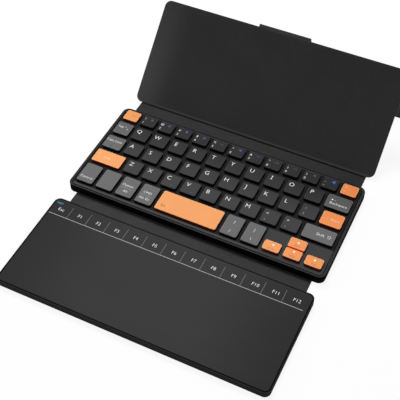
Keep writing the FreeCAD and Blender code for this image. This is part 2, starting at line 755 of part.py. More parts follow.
def make_board():
    board_back = plate("board_back_skin", BOARD_BOX, "board_back", "stiffener_face - (board_back)",
                       "board_corner")
    cut_box(board_back, shrunk(BOARD_BOX, "board_hem"), "stiffener_back", "board_thickness")
    on_board(board_back)
    stiffener = plate("board_stiffener", shrunk(BOARD_BOX, "board_hem"), "stiffener_back",
                      "stiffener_face - (stiffener_back)")
    magnets = [(f"{side} * (body_right - magnet_inset)", "board_height - magnet_inset") for side in SIDES]
    cut_circles(stiffener, [(*place, "board_magnet_radius + magnet_clearance") for place in magnets],
                "stiffener_back", "board_thickness")
    on_board(stiffener)
    discs = new_piece("board_magnets")
    add_circles(discs, [(*place, "board_magnet_radius") for place in magnets], "stiffener_back",
                "magnet_thickness")
    on_board(discs)
    on_board(plate("board_front_skin", BOARD_BOX, "stiffener_face", "board_skin", "board_corner"))
    band_box = ("-kickstand_width / 2", "board_height + band_overhang - band_depth",
                "kickstand_width", "band_depth")
    on_board(plate("kickstand_band", band_box, "band_outer", "band_thickness"))


def make_kickstand():
    """Leg that hangs from the band: two skins on a stiff plate, with a rubber foot at the lower end."""
    leg_box = ("-kickstand_width / 2", "hinge_gap", "kickstand_width", "leg_length")
    on_kickstand(plate("kickstand_front_skin", leg_box, "kickstand_play", "kickstand_skin"))
    on_kickstand(plate("kickstand_plate", leg_box, "kickstand_plate_bottom", "kickstand_plate"))
    on_kickstand(plate("kickstand_back_skin", leg_box, "kickstand_back_bottom", "kickstand_skin"))
    foot_box = ("-kickstand_width / 2", "kickstand_length - foot_length", "kickstand_width", "foot_length")
    on_kickstand(plate("kickstand_foot", foot_box, "kickstand_play", "kickstand_thickness"))


def make_strap():
    """Strap on the board's right edge, in two flat pieces that fold round the closed keyboard."""
    side_box = ("strap_hinge + hinge_gap", "strap_distance", "strap_side_length - 2 * hinge_gap",
                "strap_width")
    on_board(plate("strap_side", side_box, "strap_back", "strap_thickness"))
    tip_box = ("strap_tip_hinge + hinge_gap", "strap_distance", "strap_tip_length", "strap_width")
    tip = plate("strap_tip", tip_box, "strap_back", "strap_thickness")
    tip_end = max(vertex.X for vertex in tip.Shape.Vertexes)
    soften(tip, "strap_corner",
           lambda edge: is_upright(edge) and abs(edge.Vertexes[0].X - tip_end) < 1e-4)
    magnet = ("strap_magnet_across", "strap_middle")
    cut_circles(tip, [(*magnet, "magnet_radius + magnet_clearance")], "strap_back",
                "strap_magnet_cover + magnet_thickness")
    on_board(tip)
    disc = new_piece("strap_magnet")
    add_circles(disc, [(*magnet, "magnet_radius")], "strap_back + strap_magnet_cover", "magnet_thickness")
    on_board(disc)


def write_parts():
    """Check every object and piece, then write one file for each piece."""
    failed = [item.Name for item in document.Objects if {"Invalid", "Error"} & set(item.State)]
    failed += [piece.Label for piece in pieces if piece.Shape.isNull() or not piece.Shape.isValid()]
    if failed:
        raise ValueError(f"failed: {', '.join(failed)}")
    os.makedirs("parts", exist_ok=True)
    for piece in pieces:
        piece.Shape.exportStep(f"parts/{piece.Label}.step")
        print(f"{piece.Label}: {len(piece.Shape.Solids)} solids")


make_base_skin()
make_bottom_case()
make_top_frame()
make_layers()
make_controller()
make_case_screws()
make_base_magnets()
for key in KEYS:
    make_key(key)
make_front_spine()
make_flap()
make_power_board()
make_charge_port()
make_flap_magnets()
make_rear_spine()
make_board()
make_kickstand()
make_strap()
document.recompute()
write_parts()
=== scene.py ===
import json
import math

import bmesh
import bpy
from bpy.props import FloatProperty, FloatVectorProperty, IntProperty, PointerProperty
from mathutils import Matrix, Vector


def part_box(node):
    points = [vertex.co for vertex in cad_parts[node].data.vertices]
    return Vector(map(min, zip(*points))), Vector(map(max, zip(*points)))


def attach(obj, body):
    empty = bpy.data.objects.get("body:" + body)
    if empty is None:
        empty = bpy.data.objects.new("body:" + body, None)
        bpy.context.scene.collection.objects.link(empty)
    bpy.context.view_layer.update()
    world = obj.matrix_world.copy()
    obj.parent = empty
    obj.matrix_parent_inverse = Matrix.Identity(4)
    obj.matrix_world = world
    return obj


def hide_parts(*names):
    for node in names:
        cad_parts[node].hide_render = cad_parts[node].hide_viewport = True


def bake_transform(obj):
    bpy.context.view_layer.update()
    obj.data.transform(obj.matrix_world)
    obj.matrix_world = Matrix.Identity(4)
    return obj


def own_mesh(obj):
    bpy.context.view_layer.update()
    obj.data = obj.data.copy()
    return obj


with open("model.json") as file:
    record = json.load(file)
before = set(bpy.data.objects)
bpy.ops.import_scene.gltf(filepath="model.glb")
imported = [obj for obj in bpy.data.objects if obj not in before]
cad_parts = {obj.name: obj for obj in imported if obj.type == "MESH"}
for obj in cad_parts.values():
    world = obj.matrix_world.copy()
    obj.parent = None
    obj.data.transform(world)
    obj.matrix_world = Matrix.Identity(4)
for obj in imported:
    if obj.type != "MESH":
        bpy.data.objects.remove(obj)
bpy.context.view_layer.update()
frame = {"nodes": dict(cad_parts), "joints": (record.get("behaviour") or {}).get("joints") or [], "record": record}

bl_info = {
    "name": "Folio Keyboard",
    "version": (1, 0, 0),
    "blender": (4, 5, 0),
    "location": "3D View > Sidebar > Folio Keyboard",
    "description": "Dresses a compact keyboard in a folding folio with a touch flap and a stand board",
    "category": "Object",
}

MM = 0.001
CORNER_STEPS = 10
SIDES = (-1, 1)

# Places that the frame gives
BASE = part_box("top_frame")
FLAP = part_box("flap_skin")
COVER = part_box("touch_cover")
BASE_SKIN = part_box("base_skin")
FRONT_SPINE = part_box("front_spine_skin")
REAR_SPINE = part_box("rear_spine_skin")
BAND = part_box("kickstand_band")
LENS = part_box("indicator_lens")
KEY_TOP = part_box("keys_home_row")[1].z
HINGES = {joint["name"]: Vector(joint["pos_m"]) for joint in frame["joints"] if joint["type"] == "hinge"}


def colour_property(name, description, default):
    return FloatVectorProperty(name=name, description=description, default=default, subtype="COLOR", min=0, max=1)


def length_property(name, description, millimetres):
    return FloatProperty(name=name, description=description, default=millimetres * MM, unit="LENGTH", min=0)


class FolioSizes(bpy.types.PropertyGroup):
    key_gap: length_property("Key gap", "Space between two caps of a row", 2.7)
    letter_height: length_property("Letter height", "Height of a letter on a cap", 3.1)
    symbol_height: length_property("Symbol height", "Height of a digit or a shifted sign", 2.0)
    word_height: length_property("Word height", "Height of the capitals in a word", 2.1)
    icon_height: length_property("Icon height", "Height of a coloured second sign", 2.0)
    print_thickness: length_property("Print thickness", "How far printing stands above its surface", 0.03)
    strip_text_height: length_property("Strip letter height", "Height of the touch strip's words", 2.3)
    strip_line_distance: length_property("Strip line distance", "From the flap's back edge to the long line", 13.4)
    strip_text_distance: length_property("Strip word distance", "From the flap's back edge to the words", 8.3)
    strip_line_width: length_property("Strip line width", "Width of the long line", 0.34)
    tick_width: length_property("Tick width", "Width of the short lines between the words", 0.16)
    tick_length: length_property("Tick length", "Length of the short lines", 9.2)
    cell_width: length_property("Strip cell width", "Width of one touch strip cell", 13.25)
    cells: IntProperty(name="Strip cells", description="Number of touch strip cells", default=13, min=2)
    skin: length_property("Cloth thickness", "Thickness of the leatherette on the boards", 1.0)
    edge_round: length_property("Cloth edge round", "Radius of the rolled leatherette edges", 0.3)
    crease: length_property("Crease depth", "Depth of the pressed lines along the folds", 0.22)
    board_corner: length_property("Board corner", "Corner radius of the stand board", 4.5)
    flap_corner: length_property("Flap corner", "Corner radius of the touch flap", 4.0)
    strap_corner: length_property("Strap corner", "Corner radius of the strap's end", 4.0)
    leg_skin: length_property("Leg skin", "Thickness of the leatherette on the leg", 0.4)
    grain: length_property("Grain size", "Size of one pebble of the leather grain", 0.85)
    board_lean: FloatProperty(name="Board lean", description="Angle between the open board and the table",
                              default=math.radians(44.8), subtype="ANGLE")
    leg_drop: FloatProperty(name="Leg drop", description="Angle between the open leg and the table",
                            default=math.radians(65.3), subtype="ANGLE")


class FolioColours(bpy.types.PropertyGroup):
    leatherette: colour_property("Leatherette", "Outer and inner covering", (0.034, 0.034, 0.0342))
    case: colour_property("Case", "Moulded shell round the keys", (0.029, 0.029, 0.0294))
    touch: colour_property("Touch surface", "Smooth film on the flap", (0.030, 0.030, 0.0302))
    dark_caps: colour_property("Dark caps", "Letter and digit keys", (0.025, 0.025, 0.0255))
    grey_caps: colour_property("Grey caps", "Control keys", (0.113, 0.113, 0.114))
    orange_caps: colour_property("Orange caps", "Accent keys", (0.81, 0.325, 0.108))
    white_print: colour_property("White print", "Main legends", (0.95, 0.95, 0.95))
    cream_print: colour_property("Cream print", "Arrows on the orange caps", (1.0, 0.90, 0.62))
    faint_print: colour_property("Faint print", "Grey second signs", (0.09, 0.09, 0.11))
    pale_print: colour_property("Pale print", "Legends on the orange caps", (0.98, 0.74, 0.56))
    violet_print: colour_property("Violet print", "Second signs", (0.070, 0.052, 0.17))
    blue_print: colour_property("Blue print", "Blue second signs", (0.05, 0.11, 0.42))
    teal_print: colour_property("Teal print", "Caps lock mark and indicator", (0.030, 0.13, 0.21))
    dark_print: colour_property("Dark print", "Mark on the space bar", (0.05, 0.05, 0.035))
    brown_print: colour_property("Brown print", "Small marks on the corner keys", (0.46, 0.19, 0.11))
    plum_print: colour_property("Plum print", "Words on the arrow keys", (0.30, 0.13, 0.15))
    line_print: colour_property("Line print", "Long line of the touch strip", (0.46, 0.46, 0.46))
    tick_print: colour_property("Tick print", "Short lines of the touch strip", (0.30, 0.30, 0.30))


# Shader and geometry node work

class Value:
    """A number socket. Arithmetic on it adds Math nodes."""

    def __init__(self, work, socket):
        self.work, self.socket = work, socket

    def combine(self, operation, other, swapped=False):
        first, second = (other, self) if swapped else (self, other)
        return self.work.value("ShaderNodeMath", {"operation": operation}, {0: first, 1: second})

    def __add__(self, other):
        return self.combine("ADD", other)

    def __radd__(self, other):
        return self.combine("ADD", other, True)

    def __sub__(self, other):
        return self.combine("SUBTRACT", other)

    def __rsub__(self, other):
        return self.combine("SUBTRACT", other, True)

    def __mul__(self, other):
        return self.combine("MULTIPLY", other)

    def __rmul__(self, other):
        return self.combine("MULTIPLY", other, True)

    def __truediv__(self, other):
        return self.combine("DIVIDE", other)

    def within(self, low, high):
        """Smooth step from 0 at low to 1 at high."""
        return self.work.value("ShaderNodeMapRange", {"interpolation_type": "SMOOTHSTEP"},
                               {"Value": self, "From Min": low, "From Max": high})


class NodeWork:
    """A node tree being built."""

    def __init__(self, tree):
        self.tree = tree

    def feed(self, socket, value):
        value = getattr(value, "socket", value)
        if isinstance(value, bpy.types.NodeSocket):
            self.tree.links.new(value, socket)
        elif hasattr(socket, "default_value") and hasattr(socket.default_value, "__len__") \
                and socket.type == "RGBA" and len(value) == 3:
            socket.default_value = (*value, 1)
        else:
            socket.default_value = value

    def node(self, kind, settings=None, inputs=None):
        """Adds a node: its settings first, then the value or link of each input."""
        made = self.tree.nodes.new(kind)
        for name, value in (settings or {}).items():
            if name == "stops":
                ramp = made.color_ramp
                for index, (place, level) in enumerate(value):
                    stop = ramp.elements[index] if index < 2 else ramp.elements.new(place)
                    stop.position, stop.color = place, (level, level, level, 1)
            else:
                setattr(made, name, value)
        for name, value in (inputs or {}).items():
            self.feed(made.inputs[name], value)
        return made

    def value(self, kind, settings=None, inputs=None, output=0):
        return Value(self, self.node(kind, settings, inputs).outputs[output])


class Finish(NodeWork):
    """A material whose pattern follows the object's own coordinates."""

    def __init__(self, name):
        self.material = bpy.data.materials.new(name)
        self.material.use_nodes = True
        super().__init__(self.material.node_tree)
        self.tree.nodes.clear()
        self.shader = self.node("ShaderNodeBsdfPrincipled")
        self.node("ShaderNodeOutputMaterial", None, {"Surface": self.shader.outputs[0]})
        self.place = self.node("ShaderNodeTexCoord").outputs["Object"]

    def set(self, **levels):
        for name, level in levels.items():
            self.feed(self.shader.inputs[name.replace("_", " ").title().replace("Ior", "IOR")], level)

    def noise(self, size, detail=2.0, roughness=0.5, stretch=None):
        place = self.place
        if stretch:
            place = self.node("ShaderNodeMapping", None, {"Vector": place, "Scale": stretch}).outputs[0]
        return self.value("ShaderNodeTexNoise", None, {"Vector": place, "Scale": 1 / size, "Detail": detail,
                                                       "Roughness": roughness})

    def cells(self, size, feature="F1", randomness=1.0):
        return self.value("ShaderNodeTexVoronoi", {"feature": feature},
                          {"Vector": self.place, "Scale": 1 / size, "Randomness": randomness})

    def along(self, axis):
        return self.value("ShaderNodeSeparateXYZ", None, {0: self.place}, axis)

    def inset(self, low, high, corner):
        """How far a point lies inside the outline of a rounded rectangle."""
        over = []
        for axis in (0, 1):
            middle, half = (low[axis] + high[axis]) / 2, (high[axis] - low[axis]) / 2
            over.append((self.along(axis) - middle).combine("ABSOLUTE", 0) - (half - corner))
        round_part = [part.combine("MAXIMUM", 0.0) for part in over]
        away = (round_part[0] * round_part[0] + round_part[1] * round_part[1]).combine("POWER", 0.5)
        return corner - away - over[0].combine("MAXIMUM", over[1]).combine("MINIMUM", 0.0)

    def stops(self, value, reach, stops):
        """Level along a value, from a list of places in millimetres and levels."""
        levels = [(place * MM / reach, level) for place, level in stops]
        return self.value("ShaderNodeValToRGB", {"stops": levels}, {0: value / reach})

    def worn(self):
        """How near a point is to a rolled edge or crease, as the mesh says: its wear, and where painted highlight goes.
        """
        return Value(self, self.node("ShaderNodeAttribute", {"attribute_name": "worn"}).outputs["Fac"])

    def mix(self, factor, first, second):
        made = self.node("ShaderNodeMix", {"data_type": "RGBA"}, {0: factor, 6: first, 7: second})
        return made.outputs[2]

    def relief(self, height, depth, strength=1.0):
        bump = self.node("ShaderNodeBump", None, {"Height": height, "Distance": depth, "Strength": strength})
        self.feed(self.shader.inputs["Normal"], bump.outputs[0])


def shade(colour, level):
    return tuple(min(1.0, part * level) for part in colour)


def leather_finish(name, colour, grain, board=None):
    """Pressed leatherette: pebbles with fine wrinkles between them, mottled, smoother and lighter from wear along its
    edges and creases, where painted highlight lies too. On the stand board, painted light lightens it towards the foot
    and the left, and painted light along the fold offsets the shade of the seam."""
    finish = Finish(name)
    pebbles = finish.cells(grain, "SMOOTH_F1")
    wrinkles = finish.noise(grain * 0.45, 4, 0.6)
    mottle = finish.noise(26 * MM, 3, 0.55)
    valley = pebbles.within(0.35, 0.75)
    body = finish.mix(mottle.within(0.3, 0.7), shade(colour, 0.90), shade(colour, 1.10))
    body = finish.mix(valley * 0.5, body, shade(colour, 0.62))
    # Rolled edges and creases lighter: partly wear, partly painted highlight.
    body = finish.mix(finish.worn() * 0.5, body, shade(colour, 2.0))
    if board:
        # Painted light on the stand board: lighter towards its foot and its left end; painted light along the fold
        # offsets the shade of the seam.
        standing = finish.along(2).within(board.z + 0.2 * MM, board.z + 2 * MM)
        foot = 1 - finish.along(1).within(56 * MM, 128 * MM)
        left = 1 - finish.along(0).within(-87 * MM, -63 * MM)
        seam = 1 - (finish.along(1) - board.y).combine("ABSOLUTE", 0).within(0.3 * MM, 0.9 * MM)
        body = finish.mix(standing * foot * 0.4, body, shade(colour, 1.7))
        body = finish.mix(standing * left * (0.15 + 0.85 * foot), body, shade(colour, 2.5))
        body = finish.mix(seam, body, shade(colour, 2.4))
    finish.set(base_color=body, roughness=0.56 + 0.14 * mottle + 0.08 * valley - 0.12 * finish.worn(),
               specular_ior_level=0.07)
    finish.relief(wrinkles * 0.35 - pebbles, 0.05 * MM, 0.55)
    return finish.material


def case_finish(name, colour):
    """Spark-eroded moulded plastic with a faint sheen."""
    finish = Finish(name)
    texture = finish.noise(0.22 * MM, 2, 0.6)
    cloud = finish.noise(18 * MM, 2)
    finish.set(base_color=finish.mix(cloud, shade(colour, 0.88), shade(colour, 1.14)),
               roughness=0.44 + 0.16 * texture + 0.06 * cloud, specular_ior_level=0.12)
    finish.relief(texture, 0.02 * MM, 0.5)
    return finish.material


def shell_finish(name, colour, low, high, corner, lines, foot, shoulder):
    """Spark-eroded shell: walls in painted shade that deepens downwards, side walls in painted shade, and lines of
    painted highlight and painted shade round it.
    """
    finish = Finish(name)
    texture = finish.noise(0.22 * MM, 2, 0.6)
    cloud = finish.noise(18 * MM, 2)
    body = finish.mix(cloud, shade(colour, 0.90), shade(colour, 1.12))
    # Painted shade: walls darker below the shoulder, darkest at the foot.
    body = finish.mix(finish.along(2).within(foot, shoulder), shade(colour, 0.12), body)
    inset = finish.inset(low, high, corner)
    # Lines of painted shade and painted highlight by distance inside the outline.
    line = finish.stops(inset, 3 * MM, lines)
    shadow = (1 - line * 2).combine("MAXIMUM", 0.0)
    body = finish.mix(shadow, body, shade(colour, 0.05))
    body = finish.mix((line * 2 - 1).combine("MAXIMUM", 0.0), body, shade(colour, 3.6))
    # Painted shade on the side walls.
    side = (finish.along(0) - (low.x + high.x) / 2).combine("ABSOLUTE", 0)
    half = (high.x - low.x) / 2
    body = finish.mix(side.within(half - 0.3 * MM, half - 0.15 * MM), body, shade(colour, 0.08))
    return finish, body, inset, 0.46 + 0.16 * texture + 0.06 * cloud + 0.35 * shadow, texture


def flap_finish(name, colour, box, corner):
    finish, body, _, rough, texture = shell_finish(name, colour, *box, corner, TRAY_LINES, 0.4 * MM, 2.0 * MM)
    finish.set(base_color=body, roughness=rough, specular_ior_level=0.04)
    finish.relief(texture, 0.02 * MM, 0.5)
    return finish.material


def frame_finish(name, colour, box, corner):
    """The shell round the keys: painted highlight along its front lip, painted light on the deck round the arrow keys,
    and painted shade between the caps and behind them.
    """
    finish, body, inset, rough, texture = shell_finish(name, colour, *box, corner, RIM_LINES, 1.6 * MM, 4.6 * MM)
    deck = inset.within(1.9 * MM, 2.3 * MM)
    across, depth = finish.along(0), finish.along(1)
    # Painted highlight along the inner slope of the front lip.
    lip = depth.within(-38.2 * MM, -37.8 * MM) * (1 - depth.within(-36.6 * MM, -36.2 * MM))
    body = finish.mix(lip * deck, body, shade(colour, 2.0))
    # Painted light on the deck round the arrow keys.
    arrow_deck_light = across.within(43.2 * MM, 45 * MM) * (1 - depth.within(-18 * MM, -16.5 * MM))
    between = depth.within(-36.2 * MM, -35.6 * MM) * (1 - arrow_deck_light) * deck
    body = finish.mix(arrow_deck_light * deck, body, shade(colour, 1.5))
    # Painted shade on the deck between the caps and in a band along the rear edge.
    body = finish.mix(between.combine("MAXIMUM", depth.within(38.7 * MM, 39.3 * MM)), body, shade(colour, 0.28))
    finish.set(base_color=body, roughness=rough, specular_ior_level=0.04)
    finish.relief(texture, 0.02 * MM, 0.5)
    return finish.material


def cap_finish(name, colour, edge_highlight_colour, side_shade_colour, deeper=None, glow=None):
    """Fine matte cap plastic with a smoother moulded top edge lit by painted highlight, sides in painted shade, painted
    shade towards the back rows, and a painted sheen that grows towards the front rows. The dark and grey caps take
    painted shade to the right and towards the back; the accent caps are deeper in colour to the right, and carry a
    painted red reflection where the two half-height caps meet."""
    finish = Finish(name)
    texture = finish.noise(0.16 * MM, 2, 0.65)
    cloud = finish.noise(9 * MM, 3)
    height = finish.along(2)
    # Painted highlight along the top edge of each cap.
    edge = height.within(KEY_TOP - 0.42 * MM, KEY_TOP - 0.12 * MM)
    edge = edge * (1 - height.within(KEY_TOP - 0.02 * MM, KEY_TOP - 0.004 * MM))
    # Painted shade on the cap sides below the top.
    side = 1 - height.within(KEY_TOP - 0.75 * MM, KEY_TOP - 0.40 * MM)
    body = finish.mix(cloud, shade(colour, 0.94), shade(colour, 1.06))
    if deeper:
        upper = 0.5 + 0.5 * finish.along(1).within(-20 * MM, 5 * MM)
        body = finish.mix(finish.along(0).within(54 * MM, 64 * MM) * upper, body, deeper)
    # Painted shade: caps darker towards the back rows.
    body = finish.mix(finish.along(1).within(-5 * MM, 38 * MM) * 0.12, body, (0, 0, 0))
    # Painted shade on the dark and grey caps to the right and towards the back.
    if not deeper:
        far = finish.along(0).within(25 * MM, 60 * MM) * finish.along(1).within(5 * MM, 20 * MM)
        body = finish.mix(far * 0.2, body, (0, 0, 0))
    # Painted sheen, growing towards the front rows.
    front_sheen = (1 - finish.along(1).within(-10 * MM, 38 * MM)).combine("POWER", 1.7)
    body = finish.mix(front_sheen * 0.020, body, (1, 1, 1))
    body = finish.mix(edge, body, edge_highlight_colour)
    body = finish.mix(side, body, side_shade_colour)
    # Painted red reflection in the gap where the up and down caps meet.
    if glow:
        meeting = (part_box("key_up")[0].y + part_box("key_down")[1].y) / 2
        inside = finish.along(0).within(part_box("key_up")[0].x - 0.6 * MM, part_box("key_up")[0].x - 0.3 * MM) \
            * (1 - finish.along(0).within(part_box("key_up")[1].x + 0.3 * MM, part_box("key_up")[1].x + 0.6 * MM))
        near = 1 - (finish.along(1) - meeting).combine("ABSOLUTE", 0).within(0.5 * MM, 0.85 * MM)
        body = finish.mix(near * inside, body, glow)
    finish.set(base_color=body, roughness=0.47 + 0.12 * texture + 0.08 * cloud - 0.14 * edge,
               specular_ior_level=0.05)
    finish.relief(texture, 0.012 * MM, 0.45)
    return finish.material


def touch_finish(name, colour, low, high, corner):
    """Satin touch film with a very fine tooth, faint cleaning streaks, painted shade along its edge, and a smoother
    hand-polished middle that painted sheen leaves lighter than its ends.
    """
    finish = Finish(name)
    edge = 1 - finish.inset(low, high, corner).within(0.25 * MM, 0.7 * MM)
    tooth = finish.noise(0.12 * MM, 2, 0.6)
    cloud = finish.noise(45 * MM, 3, 0.5)
    streak = finish.noise(14 * MM, 3, 0.5, (0.25, 1.6, 1))
    body = finish.mix(cloud, shade(colour, 0.93), shade(colour, 1.07))
    # Painted sheen: the film darker towards its left and right ends than in its middle.
    outer = finish.along(0).combine("ABSOLUTE", 0).within(0.3 * high.x, 1.05 * high.x)
    body = finish.mix(outer, body, shade(colour, 0.66))
    # Painted shade along the film's edge.
    finish.set(base_color=finish.mix(edge * 0.95, body, shade(colour, 0.1)),
               roughness=0.46 + 0.08 * tooth + 0.08 * streak + 0.3 * edge + 0.05 * outer, specular_ior_level=0.05)
    finish.relief(tooth, 0.006 * MM, 0.4)
    return finish.material


def print_finish(name, colour):
    """Printed ink with slightly uneven cover."""
    finish = Finish(name)
    cover = finish.noise(0.35 * MM, 3, 0.7)
    finish.set(base_color=finish.mix(cover, shade(colour, 0.86), colour), roughness=0.5 + 0.2 * cover,
               specular_ior_level=0.12)
    return finish.material


def rubber_finish(name, colour):
    finish = Finish(name)
    skin = finish.noise(0.3 * MM, 3, 0.7)
    dust = finish.noise(4 * MM, 3, 0.6).within(0.45, 0.8)
    finish.set(base_color=finish.mix(dust * 0.5, colour, shade(colour, 2.4)), roughness=0.72 + 0.18 * skin)
    finish.relief(skin, 0.03 * MM, 0.5)
    return finish.material


def metal_finish(name, colour, rough, brush):
    """Metal with marks drawn out along X, and a few darker stains."""
    finish = Finish(name)
    marks = finish.noise(0.5 * MM, 4, 0.7, (1 / brush, 1, 1))
    stain = finish.noise(6 * MM, 3, 0.6)
    finish.set(base_color=finish.mix(stain, shade(colour, 0.8), colour), metallic=1.0,
               roughness=rough + 0.16 * marks + 0.08 * stain)
    finish.relief(marks, 0.006 * MM, 0.35)
    return finish.material


def board_finish(name, colour):
    """Circuit board lacquer with paler copper runs under it."""
    finish = Finish(name)
    runs = finish.noise(2.2 * MM, 0, 0.5, (0.15, 1.4, 1)).within(0.52, 0.56)
    finish.set(base_color=finish.mix(runs, colour, shade(colour, 2.2)), roughness=0.32 + 0.12 * runs,
               specular_ior_level=0.5)
    finish.relief(runs, 0.02 * MM, 0.6)
    return finish.material


def film_finish(name, colour):
    finish = Finish(name)
    ripple = finish.noise(7 * MM, 2)
    finish.set(base_color=finish.mix(ripple, colour, shade(colour, 1.3)), roughness=0.2 + 0.2 * ripple)
    finish.relief(ripple, 0.05 * MM, 0.4)
    return finish.material


def lens_finish(name, colour):
    """Blue lens with a tone that varies a little, glowing faintly."""
    finish = Finish(name)
    spread = finish.noise(0.8 * MM, 2)
    finish.set(base_color=finish.mix(spread, shade(colour, 0.8), colour), roughness=0.16 + 0.08 * spread,
               emission_color=colour, emission_strength=0.5)
    return finish.material


# Shading lines round an edge: place inside the outline in mm, level (0.5 keeps the colour)
RIM_LINES = ((0, 0.0), (0.3, 0.1), (0.45, 0.72), (0.68, 0.7), (0.85, 0.05), (1.12, 0.0), (1.25, 0.9),
             (1.5, 0.85), (1.58, 0.0), (2.1, 0.0), (2.4, 0.42), (2.8, 0.5))
TRAY_LINES = ((0, 0.3), (0.1, 0.35), (0.18, 0.5), (0.3, 0.45), (0.42, 0.0), (0.8, 0.0))


def make_finishes(colours, sizes):
    """One finish for each material slot of the frame, and one for each ink."""
    return {
        "leatherette": leather_finish("leatherette_grain", colours.leatherette, sizes.grain),
        # The lining is the same leatherette darkened as painted shade, used on the stand board and the rear fold.
        "lining": leather_finish("leatherette_lining_painted_shade", shade(colours.leatherette, 0.61), sizes.grain,
                                 HINGES["board_fold"]),
        "case_plastic": frame_finish("case_textured", colours.case, BASE, sizes.board_corner),
        "flap_plastic": flap_finish("flap_textured", colours.case, FLAP, sizes.flap_corner),
        "touch_surface": touch_finish("touch_film", colours.touch, *COVER, sizes.flap_corner - 0.6 * MM),
        # Cap finishes: colour, painted highlight colour of the top edge, painted shade colour of the sides; the orange
        # caps also a deeper tone and a painted red reflection.
        "dark_caps": cap_finish("caps_dark", colours.dark_caps, (0.045, 0.045, 0.046),
                                (0.0025, 0.0025, 0.0026)),
        "grey_caps": cap_finish("caps_grey", colours.grey_caps, (0.20, 0.20, 0.202),
                                (0.004, 0.004, 0.004)),
        "orange_caps": cap_finish("caps_orange", colours.orange_caps, (1.0, 0.56, 0.28),
                                  (0.20, 0.013, 0.004), (0.80, 0.25, 0.070), (0.85, 0.045, 0.008)),
        "circuit_board": board_finish("board_lacquer", (0.012, 0.055, 0.03)),
        "chip_plastic": case_finish("chip_resin", (0.02, 0.02, 0.021)),
        "clear_film": film_finish("film_amber", (0.35, 0.30, 0.20)),
        "dome_rubber": rubber_finish("dome_silicone", (0.30, 0.30, 0.29)),
        "foot_rubber": rubber_finish("foot_black", (0.018, 0.018, 0.018)),
        "sheet_steel": metal_finish("steel_brushed", (0.52, 0.53, 0.55), 0.28, 12),
        "screw_steel": metal_finish("steel_screw", (0.45, 0.45, 0.46), 0.24, 2),
        "magnet_nickel": metal_finish("nickel_bright", (0.66, 0.64, 0.60), 0.16, 3),
        "stiffener_plastic": case_finish("stiffener_sheet", (0.10, 0.10, 0.10)),
        "battery_foil": film_finish("battery_wrap", (0.25, 0.26, 0.27)),
        "indicator_glass": lens_finish("indicator_blue", colours.teal_print),
        "white": print_finish("ink_white", colours.white_print),
        "cream": print_finish("ink_cream", colours.cream_print),
        "pale": print_finish("ink_pale", colours.pale_print),
        "violet": print_finish("ink_violet", colours.violet_print),
        "blue": print_finish("ink_blue", colours.blue_print),
        "dark": print_finish("ink_dark", colours.dark_print),
        "line": print_finish("ink_line", colours.line_print),
        "tick": print_finish("ink_tick", colours.tick_print),
        "faint": print_finish("ink_faint", colours.faint_print),
        "brown": print_finish("ink_brown", colours.brown_print),
        "plum": print_finish("ink_plum", colours.plum_print),
        "teal": print_finish("ink_teal", colours.teal_print),
    }


FINISHES = {}


def finish_named(name):
    scene = bpy.context.scene
    if not FINISHES:
        FINISHES.update(make_finishes(scene.folio_colours, scene.folio_sizes))
    return FINISHES[name]


# Mesh work

def add_object(name, mesh, *materials):
    made = bpy.data.objects.new(name, mesh)
    bpy.context.collection.objects.link(made)
    mesh.materials.clear()
    for material in materials:
        mesh.materials.append(finish_named(material))
    return made


def finished_mesh(name, form, matrix=None):
    """Mesh of a bmesh, moved to its place, with outward faces."""
    if matrix:
        bmesh.ops.transform(form, matrix=matrix, verts=form.verts)
    bmesh.ops.recalc_face_normals(form, faces=form.faces)
    mesh = bpy.data.meshes.new(name)
    form.to_mesh(mesh)
    form.free()
    return mesh


def smooth_by_angle(mesh, degrees=35):
    mesh.polygons.foreach_set("use_smooth", [True] * len(mesh.polygons))
    mesh.set_sharp_from_angle(angle=math.radians(degrees))


def outline(low, high, radius):
    """Points round a rectangle with rounded corners, the same number for any radius."""
    points = []
    corners = ((high[0], high[1], -1, -1), (low[0], high[1], 1, -1), (low[0], low[1], 1, 1), (high[0], low[1], -1, 1))
    for quarter, (x, y, to_x, to_y) in enumerate(corners):
        for step in range(CORNER_STEPS + 1):
            angle = math.radians(90 * (quarter + step / CORNER_STEPS))
            points.append((x + to_x * radius + radius * math.cos(angle),
                           y + to_y * radius + radius * math.sin(angle)))
    return points


def add_loft(form, rings, worn):
    """Closed skin over rings of points; worn gives each ring's wear and painted highlight."""
    layer = form.verts.layers.float.get("worn") or form.verts.layers.float.new("worn")
    loops = []
    for ring, wear in zip(rings, worn):
        loop = [form.verts.new(point) for point in ring]
        for vertex in loop:
            vertex[layer] = wear
        loops.append(loop)
    for lower, upper in zip(loops, loops[1:]):
        for index in range(len(lower)):
            after = (index + 1) % len(lower)
            form.faces.new((lower[index], lower[after], upper[after], upper[index]))
    form.faces.new(reversed(loops[0]))
    form.faces.new(loops[-1])


def rolled_sheet(low, high, corner, profile):
    """Flat sheet with rolled edges. The profile lists inset, height and wear with painted highlight from below to
    above.
    """
    form = bmesh.new()
    rings = []
    for inset, height, _ in profile:
        ring = outline((low[0] + inset, low[1] + inset), (high[0] - inset, high[1] - inset),
                       max(corner - inset, 0.02 * MM))
        rings.append([(x, y, height) for x, y in ring])
    add_loft(form, rings, [wear for _, _, wear in profile])
    return form


def rolled_profile(bottom, top, below, above, inner=6.0):
    """Profile of an edge with one radius below and another above, and a calm ring further in."""
    steps = 4
    profile = [(inner * MM, bottom, 0)]
    for step in range(steps + 1):
        angle = math.pi / 2 * step / steps
        profile.append((below * (1 - math.sin(angle)), bottom + below * (1 - math.cos(angle)),
                        0.3 + 0.7 * step / steps))
    for step in range(steps + 1):
        angle = math.pi / 2 * step / steps
        profile.append((above * (1 - math.cos(angle)), top - above * (1 - math.sin(angle)),
                        1 - 0.7 * step / steps))
    return profile + [((above / MM + 1.2) * MM, top, 0), (inner * MM, top, 0)]


